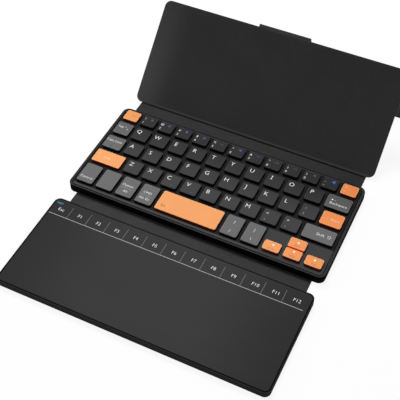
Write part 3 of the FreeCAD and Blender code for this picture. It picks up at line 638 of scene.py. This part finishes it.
def cloth_strip(stations, half_width, edge=0.35 * MM):
    """Strip of cloth along a path in its YZ plane, as wide as X. A station is its outer point, its inner
    point, how far its sides draw in, and its wear with painted highlight."""
    form = bmesh.new()
    rings, worn = [], []
    for outer, inner, inset, wear in stations:
        half = half_width - inset
        section = [(half - edge, 0), (half - 0.3 * edge, 0.12), (half, 0.5), (half - 0.3 * edge, 0.88),
                   (half - edge, 1)]
        section += [(-x, share) for x, share in reversed(section)]
        rings.append([(x, outer[0] + (inner[0] - outer[0]) * share, outer[1] + (inner[1] - outer[1]) * share)
                      for x, share in section])
        worn.append(wear)
    add_loft(form, rings, worn)
    return form


def turned(angle, hinge):
    """Placement of a piece that is drawn flat from its hinge along +Y."""
    return Matrix.Translation(Vector((0, hinge.y, hinge.z))) @ Matrix.Rotation(angle, 4, "X")


def leather_piece(name, form, matrix=None, finish="leatherette"):
    mesh = finished_mesh(name, form, matrix)
    smooth_by_angle(mesh, 50)
    piece = add_object(name, mesh, finish)
    return piece


# Printing

def ink(form, text, height, place, align="CENTER", weight=-0.018, thickness=0.03 * MM):
    """Adds thin raised lettering to a mesh, its middle line at a place."""
    curve = bpy.data.curves.new("lettering", "FONT")
    curve.body, curve.align_x = text, align
    curve.resolution_u = 3
    capital = 0.682
    curve.size = height / capital
    curve.extrude = thickness
    curve.offset = weight * height
    sign = bpy.data.objects.new("lettering", curve)
    bpy.context.collection.objects.link(sign)
    bpy.context.view_layer.update()
    mesh = bpy.data.meshes.new_from_object(sign.evaluated_get(bpy.context.evaluated_depsgraph_get()))
    bpy.data.objects.remove(sign)
    bpy.data.curves.remove(curve)
    mesh.transform(Matrix.Translation(Vector(place) - Vector((0, height / 2, 0))))
    form.from_mesh(mesh)
    bpy.data.meshes.remove(mesh)


def ink_bar(form, low, high, z, thickness=0.03 * MM):
    """Adds a thin raised bar to a mesh."""
    matrix = Matrix.Translation(((low[0] + high[0]) / 2, (low[1] + high[1]) / 2, z)) \
        @ Matrix.Diagonal((high[0] - low[0], high[1] - low[1], 2 * thickness, 1))
    bmesh.ops.create_cube(form, size=1, matrix=matrix)


def printed_piece(name, form, body, ink_name):
    mesh = finished_mesh(name, form)
    piece = add_object(name, mesh, ink_name)
    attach(piece, body)
    return piece


LETTER_ROWS = {"keys_upper_row": "QWERTYUIOP", "keys_home_row": "ASDFGHJKL;", "keys_lower_row": "ZXCVBNM,."}
SHIFTED = {";": ":", ",": "<", ".": ">"}
# Cross strokes of single letters: from and to along X in mm, and height as a share of the letter
SERIFS = {"I": ((-0.65, 0.65, 0.45), (-0.65, 0.65, -0.45)), "J": ((-0.65, 0.5, 0.45),)}
# Small spots low on two letter caps, with their ink
SPOTS = {"C": "teal", "V": "violet"}
NUMBER_SIGNS = ("!1", "@2", "#3", "$4", "%5", "^6", "&7", "*8", "(9", ")0", "_-")
# Second signs with their ink and height as a share of the icon height
SECOND_SIGNS = (("●", "faint", 0.8), ("◆", "violet", 1.0), ("●", "blue", 0.8), ("■", "violet", 0.95),
                ("▬", "violet", 0.8), ("◄", "blue", 0.9), ("◄◄", "violet", 0.55), ("►■", "violet", 0.55),
                ("►►", "violet", 0.55), ("◄", "faint", 0.8), ("◄", "blue", 1.2))
# Words on single keys: text, place across and down the cap, capital height as a share of the word height, ink, side
WORDS = {
    "key_escape": [("Esc", 0.62, 0.46, 0.7, "brown", "CENTER")],
    "key_delete": [("+", 0.24, 0.30, 0.8, "cream", "CENTER"), ("=", 0.20, 0.70, 0.7, "cream", "CENTER"),
                   ("Del", 0.70, 0.28, 0.85, "brown", "CENTER")],
    "key_tab": [("Tab", 0.10, 0.40, 0.86, "white", "LEFT"), ("←", 0.60, 0.34, 0.6, "white", "CENTER"),
                ("→", 0.74, 0.48, 0.6, "white", "CENTER")],
    "key_backspace": [("◄", 0.16, 0.39, 0.5, "white", "LEFT"), ("▬", 0.33, 0.39, 0.35, "line", "CENTER"),
                      ("Backspace", 0.155, 0.63, 0.92, "white", "LEFT")],
    "key_caps_lock": [("Caps Lock", 0.45, 0.36, 0.86, "white", "CENTER"), ("▲", 0.40, 0.77, 0.95, "teal", "CENTER")],
    "key_enter": [("↵", 0.20, 0.57, 0.8, "pale", "CENTER"), ("Enter", 0.66, 0.51, 0.9, "pale", "CENTER")],
    "key_left_shift": [("⇧", 0.12, 0.32, 0.9, "pale", "CENTER"), ("Shift", 0.45, 0.53, 0.9, "pale", "CENTER")],
    "key_right_shift": [("Shift", 0.54, 0.51, 1.0, "white", "CENTER"), ("⇧", 0.82, 0.50, 1.15, "white", "CENTER")],
    "key_control": [("Control", 0.48, 0.74, 0.90, "white", "CENTER")],
    "key_function": [],
    "key_option": [("Option", 0.46, 0.43, 0.88, "white", "CENTER"), ("Alt", 0.50, 0.74, 0.92, "white", "CENTER")],
    "key_command": [("CMD", 0.46, 0.43, 0.86, "white", "CENTER"), ("Alt Gr", 0.47, 0.74, 0.92, "white", "CENTER")],
    "key_space": [("En", 0.11, 0.74, 1.05, "dark", "CENTER")],
    "key_slash": [("?", 0.51, 0.32, 1.15, "white", "CENTER"), ("/", 0.49, 0.78, 1.15, "white", "CENTER")],
    "key_bar": [("|", 0.47, 0.33, 1.15, "white", "CENTER"), ("\\", 0.50, 0.78, 1.15, "white", "CENTER")],
    "key_left": [("◄", 0.53, 0.36, 0.66, "cream", "CENTER"), ("Home", 0.50, 0.75, 0.62, "plum", "CENTER")],
    "key_up": [("▲", 0.52, 0.36, 0.66, "cream", "CENTER"), ("PgUp", 0.53, 0.70, 0.62, "plum", "CENTER")],
    "key_down": [("▼", 0.52, 0.30, 0.66, "cream", "CENTER"), ("PgDn", 0.52, 0.74, 0.62, "plum", "CENTER")],
    "key_right": [("►", 0.53, 0.36, 0.66, "cream", "CENTER"), ("End", 0.54, 0.75, 0.62, "plum", "CENTER")],
}
RULED = ("key_option", "key_command")


def caps_of_row(node, count):
    """Left edge and width of each cap in a row, from the row's box."""
    low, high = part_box(node)
    gap = bpy.context.scene.folio_sizes.key_gap
    width = (high.x - low.x - (count - 1) * gap) / count
    return [(low.x + index * (width + gap), width) for index in range(count)]


def key_body(node):
    return next(body for body, nodes in frame["record"]["behaviour"]["bodies"].items() if node in nodes)


class Legends:
    """Printing on one key node, gathered by ink."""

    def __init__(self, node):
        self.node, self.low, self.high = node, *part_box(node)
        self.forms = {}

    def form(self, ink_name):
        return self.forms.setdefault(ink_name, bmesh.new())

    def write(self, ink_name, text, height, left, width, across, down, align="CENTER"):
        depth = self.high.y - self.low.y
        ink(self.form(ink_name), text, height, (left + across * width, self.high.y - down * depth, KEY_TOP), align)

    def finish(self):
        for ink_name, form in self.forms.items():
            printed_piece(f"{self.node}_{ink_name}_print", form, key_body(self.node), ink_name)


# Operators

class Step:
    """Shared by the operators: they run once and raise when they can't."""

    bl_options = {"REGISTER"}

    def execute(self, context):
        self.make(context.scene.folio_sizes)
        return {"FINISHED"}


class KEYBOARD_OT_solid_parts(Step, bpy.types.Operator):
    """Give every rigid part of the frame its finish"""

    bl_idname = "keyboard.solid_parts"
    bl_label = "Finish Solid Parts"

    def make(self, sizes):
        for node in frame["nodes"].values():
            for slot in node.material_slots:
                slot.material = finish_named(slot.material.name)
        frame["nodes"]["flap_tray"].material_slots[0].material = finish_named("flap_plastic")


class KEYBOARD_OT_domes(Step, bpy.types.Operator):
    """Stand the rubber domes on their sheet, in one piece under each cap"""

    bl_idname = "keyboard.domes"
    bl_label = "Stand Domes"

    def make(self, sizes):
        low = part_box("dome_sheet")[0]
        sheet_top, seat = low.z + 0.2 * MM, low.z + 0.1 * MM
        self.part("dome_sheet_base", sheet_top, seat, lambda face: max(vertex.co.z for vertex in face.verts))
        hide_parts("dome_sheet")
        for joint in frame["joints"]:
            if joint["type"] != "slide":
                continue
            node = frame["record"]["behaviour"]["bodies"][joint["child"]][0]
            left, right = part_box(node)

            def outside(face):
                middle = face.calc_center_median()
                kept = left.x < middle.x < right.x and left.y < middle.y < right.y \
                    and max(vertex.co.z for vertex in face.verts) > sheet_top + 0.01 * MM
                return low.z if kept else right.z

            piece = self.part(f"{node}_domes", sheet_top, seat, outside)
            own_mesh(piece)

    def part(self, name, sheet_top, seat, reach):
        """Closed piece of the sheet's faces whose reach isn't above the sheet, its upper face let down to the seat."""
        form = bmesh.new()
        form.from_mesh(frame["nodes"]["dome_sheet"].data)
        bmesh.ops.remove_doubles(form, verts=form.verts, dist=1e-7)
        away = [face for face in form.faces if reach(face) > sheet_top + 0.01 * MM]
        bmesh.ops.delete(form, geom=away, context="FACES")
        bmesh.ops.holes_fill(form, edges=[edge for edge in form.edges if edge.is_boundary], sides=0)
        for vertex in form.verts:
            if abs(vertex.co.z - sheet_top) < 0.01 * MM:
                vertex.co.z = seat
        mesh = finished_mesh(name, form)
        smooth_by_angle(mesh, 30)
        piece = add_object(name, mesh, "dome_rubber")
        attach(piece, "base")
        return piece


class KEYBOARD_OT_base_cloth(Step, bpy.types.Operator):
    """Cover the base's and the flap's undersides with leatherette"""

    bl_idname = "keyboard.base_cloth"
    bl_label = "Cover Undersides"

    def make(self, sizes):
        for node, corner, body in (("base_skin", sizes.board_corner, "base"),
                                   ("flap_skin", sizes.flap_corner, "touch_flap")):
            low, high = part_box(node)
            profile = rolled_profile(low.z, high.z, 1.6 * sizes.edge_round, 0.4 * sizes.edge_round)
            piece = leather_piece(f"{node}_cover", rolled_sheet(low, high, corner, profile))
            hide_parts(node)
            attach(piece, body)


def spine_stations(start, end, thickness, creases, dip):
    """Stations of a flat strip from one Y to another, pressed thin at its creases."""
    count = max(2, round(abs(end - start) / (0.25 * MM)))
    stations = []
    for step in range(count + 1):
        along = start + (end - start) * step / count
        press = sum(math.exp(-((along - crease) / (0.45 * MM)) ** 2) for crease in creases)
        stations.append(((along, 0.25 * dip * press), (along, thickness - dip * press), 0, 0.7 * press))
    return stations


class KEYBOARD_OT_front_fold(Step, bpy.types.Operator):
    """Lay the cloth that joins the base to the touch flap"""

    bl_idname = "keyboard.front_fold"
    bl_label = "Lay Front Fold"

    def make(self, sizes):
        near, far = HINGES["front_spine_fold"].y, HINGES["touch_flap_fold"].y
        middle, tuck, reach = (near + far) / 2, 0.8 * MM, 0.9 * MM
        thickness = sizes.skin - 0.02 * MM
        half = FRONT_SPINE[1].x
        inner = cloth_strip(spine_stations(near + tuck, middle, thickness, [near], sizes.crease), half)
        outer = cloth_strip(spine_stations(middle, far - tuck, thickness, [far], sizes.crease), half)
        back = leather_piece("front_fold_back", inner)
        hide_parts("front_spine_skin", "front_spine_lining")
        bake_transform(back)
        front = leather_piece("front_fold_front", outer)
        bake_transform(front)


class KEYBOARD_OT_rear_fold(Step, bpy.types.Operator):
    """Lay the cloth that joins the base to the stand board"""

    bl_idname = "keyboard.rear_fold"
    bl_label = "Lay Rear Fold"

    def make(self, sizes):
        near, hinge = HINGES["rear_spine_fold"].y, HINGES["board_fold"]
        middle, tuck, reach = (near + hinge.y) / 2, 0.8 * MM, 0.9 * MM
        thickness = sizes.skin - 0.02 * MM
        half = REAR_SPINE[1].x
        inner = cloth_strip(spine_stations(near - tuck, middle, thickness, [near], sizes.crease), half)
        front = leather_piece("rear_fold_front", inner, finish="lining")
        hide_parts("rear_spine_skin", "rear_spine_lining")
        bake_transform(front)

        stations = spine_stations(middle, hinge.y - 0.1 * MM, thickness, [], sizes.crease)
        turns = 8
        for step in range(turns + 1):
            lean = sizes.board_lean * step / turns
            below = Vector((math.sin(lean), -math.cos(lean)))
            outer_place = Vector((hinge.y, hinge.z)) + below * (sizes.skin - 0.02 * MM)
            inner_place = Vector((hinge.y, hinge.z)) + below * 0.12 * MM
            stations.append((outer_place, inner_place, 0, 0.5))
        along = Vector((math.cos(sizes.board_lean), math.sin(sizes.board_lean)))
        stations.append((stations[-1][0] + along * tuck, stations[-1][1] + along * tuck, 0.1 * MM, 0))
        back = leather_piece("rear_fold_back", cloth_strip(stations, half), finish="lining")
        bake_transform(back)


class KEYBOARD_OT_stand_board(Step, bpy.types.Operator):
    """Wrap the stand board in leatherette with a turned edge"""

    bl_idname = "keyboard.stand_board"
    bl_label = "Wrap Stand Board"

    def make(self, sizes):
        place = turned(sizes.board_lean, HINGES["board_fold"])
        half = BASE_SKIN[1].x
        height = (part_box("board_front_skin")[1].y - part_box("board_front_skin")[0].y
                  - 0.6 * MM * math.sin(sizes.board_lean)) / math.cos(sizes.board_lean)
        low, high = (-half, 0.2 * MM), (half, 0.2 * MM + height)
        seam = 0.4 * MM
        back = rolled_profile(-1.0 * MM, seam, 1.6 * sizes.edge_round, 0.5 * sizes.edge_round)
        piece = leather_piece("board_back_cover", rolled_sheet(low, high, sizes.board_corner, back), place)
        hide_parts("board_back_skin")
        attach(piece, "stand_board")
        front = rolled_profile(seam, 1.0 * MM, 0.4 * sizes.edge_round, 0.8 * sizes.edge_round)
        piece = leather_piece("board_lining", rolled_sheet(low, high, sizes.board_corner, front), place, "lining")
        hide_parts("board_front_skin")
        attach(piece, "stand_board")


class KEYBOARD_OT_kickstand(Step, bpy.types.Operator):
    """Lay the cloth that hinges the leg from the board, and the leg's front skin"""

    bl_idname = "keyboard.kickstand"
    bl_label = "Lay Kickstand Cloth"

    def make(self, sizes):
        axis = HINGES["kickstand_fold"]
        hinge = Vector((axis.y, axis.z))
        up = Vector((math.cos(sizes.board_lean), math.sin(sizes.board_lean)))
        out = Vector((up.y, -up.x))
        down = Vector((math.cos(sizes.leg_drop), -math.sin(sizes.leg_drop)))
        away = Vector((-down.y, down.x))
        half = BAND[1].x
        board_foot = Vector((HINGES["board_fold"].y, HINGES["board_fold"].z))
        along = (hinge - board_foot).dot(up)
        band_end, band_start = 75.5 * MM - along, 65.2 * MM - along
        inner_w, outer_w = -0.6 * MM, -0.15 * MM
        stations = []
        for step in range(9):
            share = step / 8
            spot = hinge + up * (band_start + (band_end - band_start) * share)
            stations.append((spot + out * inner_w, spot + out * outer_w, 0, 0.2 if step in (0, 8) else 0))
        first = stations[-1]
        leg_start = hinge + down * 0.35 * MM
        last = (leg_start + away * 1.3 * MM, leg_start + away * 0.85 * MM)
        bend = 8
        for step in range(1, bend):
            share = step / bend
            points = []
            for side, pull in ((0, 1.1 * MM), (1, 0.5 * MM)):
                a, d = first[side], last[side]
                b, c = a + up * pull, d - down * pull
                points.append(a * (1 - share) ** 3 + b * 3 * share * (1 - share) ** 2
                              + c * 3 * share ** 2 * (1 - share) + d * share ** 3)
            stations.append((*points, 0, 0.6))
        leg_end = hinge + down * (0.2 * MM + 54.9 * MM)
        stations.append((*last, 0, 0.4))
        stations.append((leg_start + down * 0.8 * MM + away * 1.3 * MM, leg_start + down * 0.8 * MM + away * 0.9 * MM,
                         0, 0))
        stations.append((leg_end + away * 1.3 * MM, leg_end + away * 0.9 * MM, 0, 0))
        piece = leather_piece("kickstand_cloth", cloth_strip(stations, half, 0.25 * MM))
        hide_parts("kickstand_band", "kickstand_back_skin")
        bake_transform(piece)
        place = turned(-sizes.leg_drop, axis)
        profile = rolled_profile(0.1 * MM, 0.1 * MM + sizes.leg_skin, 0.15 * MM, 0.05 * MM, 3)
        sheet = rolled_sheet((-half, 0.2 * MM), (half, 0.2 * MM + 54.9 * MM), 0.3 * MM, profile)
        piece = leather_piece("kickstand_front_cover", sheet, place)
        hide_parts("kickstand_front_skin")
        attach(piece, "kickstand")


class KEYBOARD_OT_strap(Step, bpy.types.Operator):
    """Lay the closing strap in two lengths of cloth, pressed thin at its folds"""

    bl_idname = "keyboard.strap"
    bl_label = "Lay Strap"

    def make(self, sizes):
        place = turned(sizes.board_lean, HINGES["board_fold"])
        root, tip = HINGES["strap_side_fold"].x, HINGES["strap_tip_fold"].x
        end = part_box("strap_tip")[1].x
        half = 11.5 * MM
        across = 55.0 * MM
        # Drawn along +Y with its width along X, then laid along the board's X
        lay = place @ Matrix.Translation((0, across, 0)) @ Matrix(((0, 1, 0, 0), (-1, 0, 0, 0), (0, 0, 1, 0),
                                                                   (0, 0, 0, 1)))
        low, high = -0.2 * MM, 1.0 * MM
        middle = (root + tip) / 2

        def stations(start, finish, crease):
            made = []
            count = round((finish - start) / (0.3 * MM))
            for step in range(count + 1):
                along = start + (finish - start) * step / count
                press = math.exp(-((along - crease) / (0.45 * MM)) ** 2)
                left = max(0.0, sizes.strap_corner - (end - along))
                inset = sizes.strap_corner - math.sqrt(max(sizes.strap_corner ** 2 - left ** 2, 0))
                thin = 0.35 * MM * max(0.0, 1 - (end - along) / (0.35 * MM))
                made.append(((along, low + 0.3 * sizes.crease * press + thin), (along, high - sizes.crease * press - thin),
                             inset, 0.7 * press + (0.8 if end - along < 0.5 * MM else 0)))
            return made

        inner = leather_piece("strap_root", cloth_strip(stations(root - 0.8 * MM, middle, root), half, 0.4 * MM), lay)
        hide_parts("strap_side")
        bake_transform(inner)
        outer = leather_piece("strap_end", cloth_strip(stations(middle, end, tip), half, 0.4 * MM), lay)
        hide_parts("strap_tip")
        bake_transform(outer)


class KEYBOARD_OT_letter_legends(Step, bpy.types.Operator):
    """Print the letters, digits and signs on the key rows"""

    bl_idname = "keyboard.letter_legends"
    bl_label = "Print Key Rows"

    def make(self, sizes):
        for node, letters in LETTER_ROWS.items():
            legends = Legends(node)
            depth = legends.high.y - legends.low.y
            for (left, width), letter in zip(caps_of_row(node, len(letters)), letters):
                if letter in SHIFTED:
                    legends.write("white", SHIFTED[letter], 1.1 * sizes.symbol_height, left, width, 0.25, 0.32)
                    legends.write("white", letter, 1.1 * sizes.symbol_height, left, width, 0.25, 0.72)
                else:
                    legends.write("white", letter, sizes.letter_height, left, width, 0.29, 0.32)
                    middle, height = (left + 0.29 * width, legends.high.y - 0.32 * depth), sizes.letter_height
                    if letter in SPOTS:
                        legends.write(SPOTS[letter], "●", 0.4 * sizes.icon_height, left, width, 0.66, 0.80)
                    for near, far, share in SERIFS.get(letter, ()):
                        ink_bar(legends.form("white"), (middle[0] + near * MM, middle[1] + share * height - 0.15 * MM),
                                (middle[0] + far * MM, middle[1] + share * height + 0.15 * MM), KEY_TOP)
            legends.finish()
        node = "keys_number_row"
        legends = Legends(node)
        for (left, width), pair, (sign, ink_name, share) in zip(caps_of_row(node, len(NUMBER_SIGNS)), NUMBER_SIGNS,
                                                                SECOND_SIGNS):
            legends.write("white", pair[0], 0.9 * sizes.symbol_height, left, width, 0.16, 0.31)
            legends.write("white", pair[1], 0.9 * sizes.symbol_height, left, width, 0.15, 0.74)
            legends.write(ink_name, sign, share * sizes.icon_height, left, width, 0.64, 0.29)
        legends.finish()


class KEYBOARD_OT_word_legends(Step, bpy.types.Operator):
    """Print the words and arrows on the single keys"""

    bl_idname = "keyboard.word_legends"
    bl_label = "Print Single Keys"

    def make(self, sizes):
        for node, words in WORDS.items():
            legends = Legends(node)
            left, width = legends.low.x, legends.high.x - legends.low.x
            for text, across, down, share, ink_name, align in words:
                legends.write(ink_name, text, share * sizes.word_height, left, width, across, down, align)
            if node in RULED:
                y = legends.high.y - 0.59 * (legends.high.y - legends.low.y)
                ink_bar(legends.form("line"), (left + 0.12 * width, y - 0.08 * MM), (left + 0.8 * width, y + 0.08 * MM),
                        KEY_TOP)
            legends.finish()


def tick_row_tree(sizes, place):
    """Geometry nodes that lay a row of short printed lines."""
    tree = bpy.data.node_groups.new("touch_strip_ticks", "GeometryNodeTree")
    tree.interface.new_socket("Geometry", in_out="OUTPUT", socket_type="NodeSocketGeometry")
    for name, kind, level in (("Count", "NodeSocketInt", sizes.cells - 1), ("Spacing", "NodeSocketFloat", sizes.cell_width),
                              ("First Tick", "NodeSocketVector", place),
                              ("Tick Size", "NodeSocketVector", (sizes.tick_width, sizes.tick_length,
                                                                 2 * sizes.print_thickness))):
        tree.interface.new_socket(name, in_out="INPUT", socket_type=kind).default_value = level
    work = NodeWork(tree)
    inputs = work.node("NodeGroupInput").outputs
    step = work.node("ShaderNodeCombineXYZ", None, {0: inputs["Spacing"]})
    line = work.node("GeometryNodeMeshLine", None, {"Count": inputs["Count"], "Start Location": inputs["First Tick"],
                                                    "Offset": step.outputs[0]})
    tick = work.node("GeometryNodeMeshCube", None, {"Size": inputs["Tick Size"]})
    rows = work.node("GeometryNodeInstanceOnPoints", None, {"Points": line.outputs[0], "Instance": tick.outputs[0]})
    solid = work.node("GeometryNodeRealizeInstances", None, {0: rows.outputs[0]})
    dressed = work.node("GeometryNodeSetMaterial", None, {0: solid.outputs[0], "Material": finish_named("tick")})
    work.node("NodeGroupOutput", None, {0: dressed.outputs[0]})
    return tree


def mesh_from_tree(name, tree):
    """Plain mesh that a geometry node tree makes."""
    holder = bpy.data.objects.new(name, bpy.data.meshes.new(name))
    bpy.context.collection.objects.link(holder)
    modifier = holder.modifiers.new(name, "NODES")
    modifier.node_group = tree
    for item in tree.interface.items_tree:
        if item.in_out == "INPUT":
            modifier[item.identifier] = item.default_value
    bpy.context.view_layer.update()
    mesh = bpy.data.meshes.new_from_object(holder.evaluated_get(bpy.context.evaluated_depsgraph_get()))
    bpy.data.objects.remove(holder)
    return mesh


class KEYBOARD_OT_touch_strip(Step, bpy.types.Operator):
    """Print the touch strip's words, lines and indicator mark on the flap"""

    bl_idname = "keyboard.touch_strip"
    bl_label = "Print Touch Strip"

    def make(self, sizes):
        top, back = COVER[1].z, FLAP[1].y
        start = COVER[0].x + 0.9 * MM
        first = start + 12.8 * MM
        words = bmesh.new()
        for cell in range(sizes.cells):
            word = f"F{cell}" if cell else "Esc"
            x = first + (cell - 1) * sizes.cell_width + 5.6 * MM if cell else start + 4.1 * MM
            ink(words, word, sizes.strip_text_height, (x, back - sizes.strip_text_distance, top), "LEFT")
        printed_piece("touch_strip_words", words, "touch_flap", "white")
        line = bmesh.new()
        y, half = back - sizes.strip_line_distance, sizes.strip_line_width / 2
        ink_bar(line, (start, y - half), (COVER[1].x - 2.6 * MM, y + half), top)
        printed_piece("touch_strip_line", line, "touch_flap", "line")
        place = (first, y + half + sizes.tick_length / 2, top)
        ticks = add_object("touch_strip_ticks", mesh_from_tree("touch_strip_ticks", tick_row_tree(sizes, place)), "tick")
        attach(ticks, "touch_flap")
        mark = bmesh.new()
        middle = (LENS[0] + LENS[1]) / 2
        length, width = 4.6 * MM, 1.3 * MM
        middle.y += 0.35 * MM
        points = outline((middle.x - 0.45 * length, middle.y - width / 2),
                         (middle.x + 0.55 * length, middle.y + width / 2), width / 2)
        add_loft(mark, [[(x, y, top - 0.03 * MM) for x, y in points], [(x, y, top + 0.02 * MM) for x, y in points]],
                 (0, 0))
        printed_piece("indicator_mark", mark, "touch_flap", "teal")


class KEYBOARD_OT_stage(Step, bpy.types.Operator):
    """Set the floor, the lamps and the camera"""

    bl_idname = "keyboard.stage"
    bl_label = "Set Stage"

    def make(self, sizes):
        scene = bpy.context.scene
        scene.view_settings.view_transform = "Standard"
        bpy.ops.mesh.primitive_plane_add(size=6, location=(0, 0, -0.0005))
        floor = bpy.context.object
        floor.name = "floor"
        finish = Finish("floor_pale")
        sweep = finish.noise(0.4, 2)
        seen = finish.node("ShaderNodeLightPath")
        finish.set(base_color=finish.mix(sweep, (0.84, 0.84, 0.84), (0.88, 0.88, 0.88)), roughness=0.9,
                   specular_ior_level=0.0)
        glow = finish.node("ShaderNodeEmission", None, {"Color": (1, 1, 1), "Strength": 1.0})
        rays = Value(finish, seen.outputs["Is Camera Ray"]) + Value(finish, seen.outputs["Is Glossy Ray"])
        blend = finish.node("ShaderNodeMixShader", None, {0: rays * 0.91, 1: finish.shader.outputs[0],
                                                          2: glow.outputs[0]})
        output = next(node for node in finish.tree.nodes if node.type == "OUTPUT_MATERIAL")
        finish.feed(output.inputs["Surface"], blend.outputs[0])
        floor.data.materials.append(finish.material)

        world = bpy.data.worlds.new("studio")
        world.use_nodes = True
        work = NodeWork(world.node_tree)
        world.node_tree.nodes.clear()
        path = work.node("ShaderNodeLightPath").outputs
        direct = Value(work, path["Is Camera Ray"]) + Value(work, path["Is Glossy Ray"]) \
            + Value(work, path["Is Transmission Ray"])
        direct = direct.within(0.0, 1.0)
        soft = work.node("ShaderNodeBackground", None, {"Color": (1, 1, 1), "Strength": 0.20})
        white = work.node("ShaderNodeBackground", None, {"Color": (1, 1, 1), "Strength": 1.0})
        mixed = work.node("ShaderNodeMixShader", None, {0: direct, 1: soft.outputs[0], 2: white.outputs[0]})
        work.node("ShaderNodeOutputWorld", None, {"Surface": mixed.outputs[0]})
        scene.world = world

        for name, place, size, power in (("key_lamp", (-0.24, 0.46, 1.15), 0.45, 14.2),
                                         ("side_lamp", (-0.75, 0.05, 0.50), 0.5, 2.2)):
            data = bpy.data.lights.new(name, "AREA")
            data.shape, data.size, data.energy = "DISK", size, power
            lamp = bpy.data.objects.new(name, data)
            bpy.context.collection.objects.link(lamp)
            lamp.location = place
            lamp.rotation_euler = (-Vector(place)).to_track_quat("-Z", "Y").to_euler()

        data = bpy.data.cameras.new("camera")
        camera = bpy.data.objects.new("camera", data)
        bpy.context.collection.objects.link(camera)
        picture, sensor, focal = 400, 36.0, 897.57
        centre = (188.29, 200.47)
        data.sensor_width, data.lens = sensor, focal / picture * sensor
        data.shift_x, data.shift_y = (picture / 2 - centre[0]) / picture, (centre[1] - picture / 2) / picture
        data.clip_start, data.clip_end = 0.01, 20
        azimuth, elevation, roll = math.radians(26.281), math.radians(49.126), math.radians(-0.375)
        back = Vector((math.sin(azimuth) * math.cos(elevation), -math.cos(azimuth) * math.cos(elevation),
                       math.sin(elevation)))
        camera.rotation_mode = "QUATERNION"
        camera.location = (0.155074, -0.355526, 0.439683)
        camera.rotation_quaternion = (Matrix.Rotation(roll, 3, back) @ (-back).to_track_quat("-Z", "Y").to_matrix()
                                      ).to_quaternion()
        scene.camera = camera


OPERATORS = (
    KEYBOARD_OT_solid_parts, KEYBOARD_OT_domes, KEYBOARD_OT_base_cloth, KEYBOARD_OT_front_fold, KEYBOARD_OT_rear_fold,
    KEYBOARD_OT_stand_board, KEYBOARD_OT_kickstand, KEYBOARD_OT_strap, KEYBOARD_OT_letter_legends,
    KEYBOARD_OT_word_legends, KEYBOARD_OT_touch_strip, KEYBOARD_OT_stage,
)


class KEYBOARD_PT_panel(bpy.types.Panel):
    """Lists the folio keyboard's steps, sizes and colours"""

    bl_label = "Folio Keyboard"
    bl_space_type = "VIEW_3D"
    bl_region_type = "UI"
    bl_category = "Folio Keyboard"

    def draw(self, context):
        for operator in OPERATORS:
            self.layout.operator(operator.bl_idname)
        for group in (context.scene.folio_sizes, context.scene.folio_colours):
            for name in group.__annotations__:
                self.layout.prop(group, name)


CLASSES = (FolioSizes, FolioColours, *OPERATORS, KEYBOARD_PT_panel)


def register():
    for item in CLASSES:
        bpy.utils.register_class(item)
    bpy.types.Scene.folio_sizes = PointerProperty(type=FolioSizes)
    bpy.types.Scene.folio_colours = PointerProperty(type=FolioColours)


def unregister():
    del bpy.types.Scene.folio_sizes
    del bpy.types.Scene.folio_colours
    for item in reversed(CLASSES):
        bpy.utils.unregister_class(item)


def main():
    register()
    for operator in OPERATORS:
        group, name = operator.bl_idname.split(".")
        getattr(getattr(bpy.ops, group), name)()


if __name__ == "__main__":
    main()
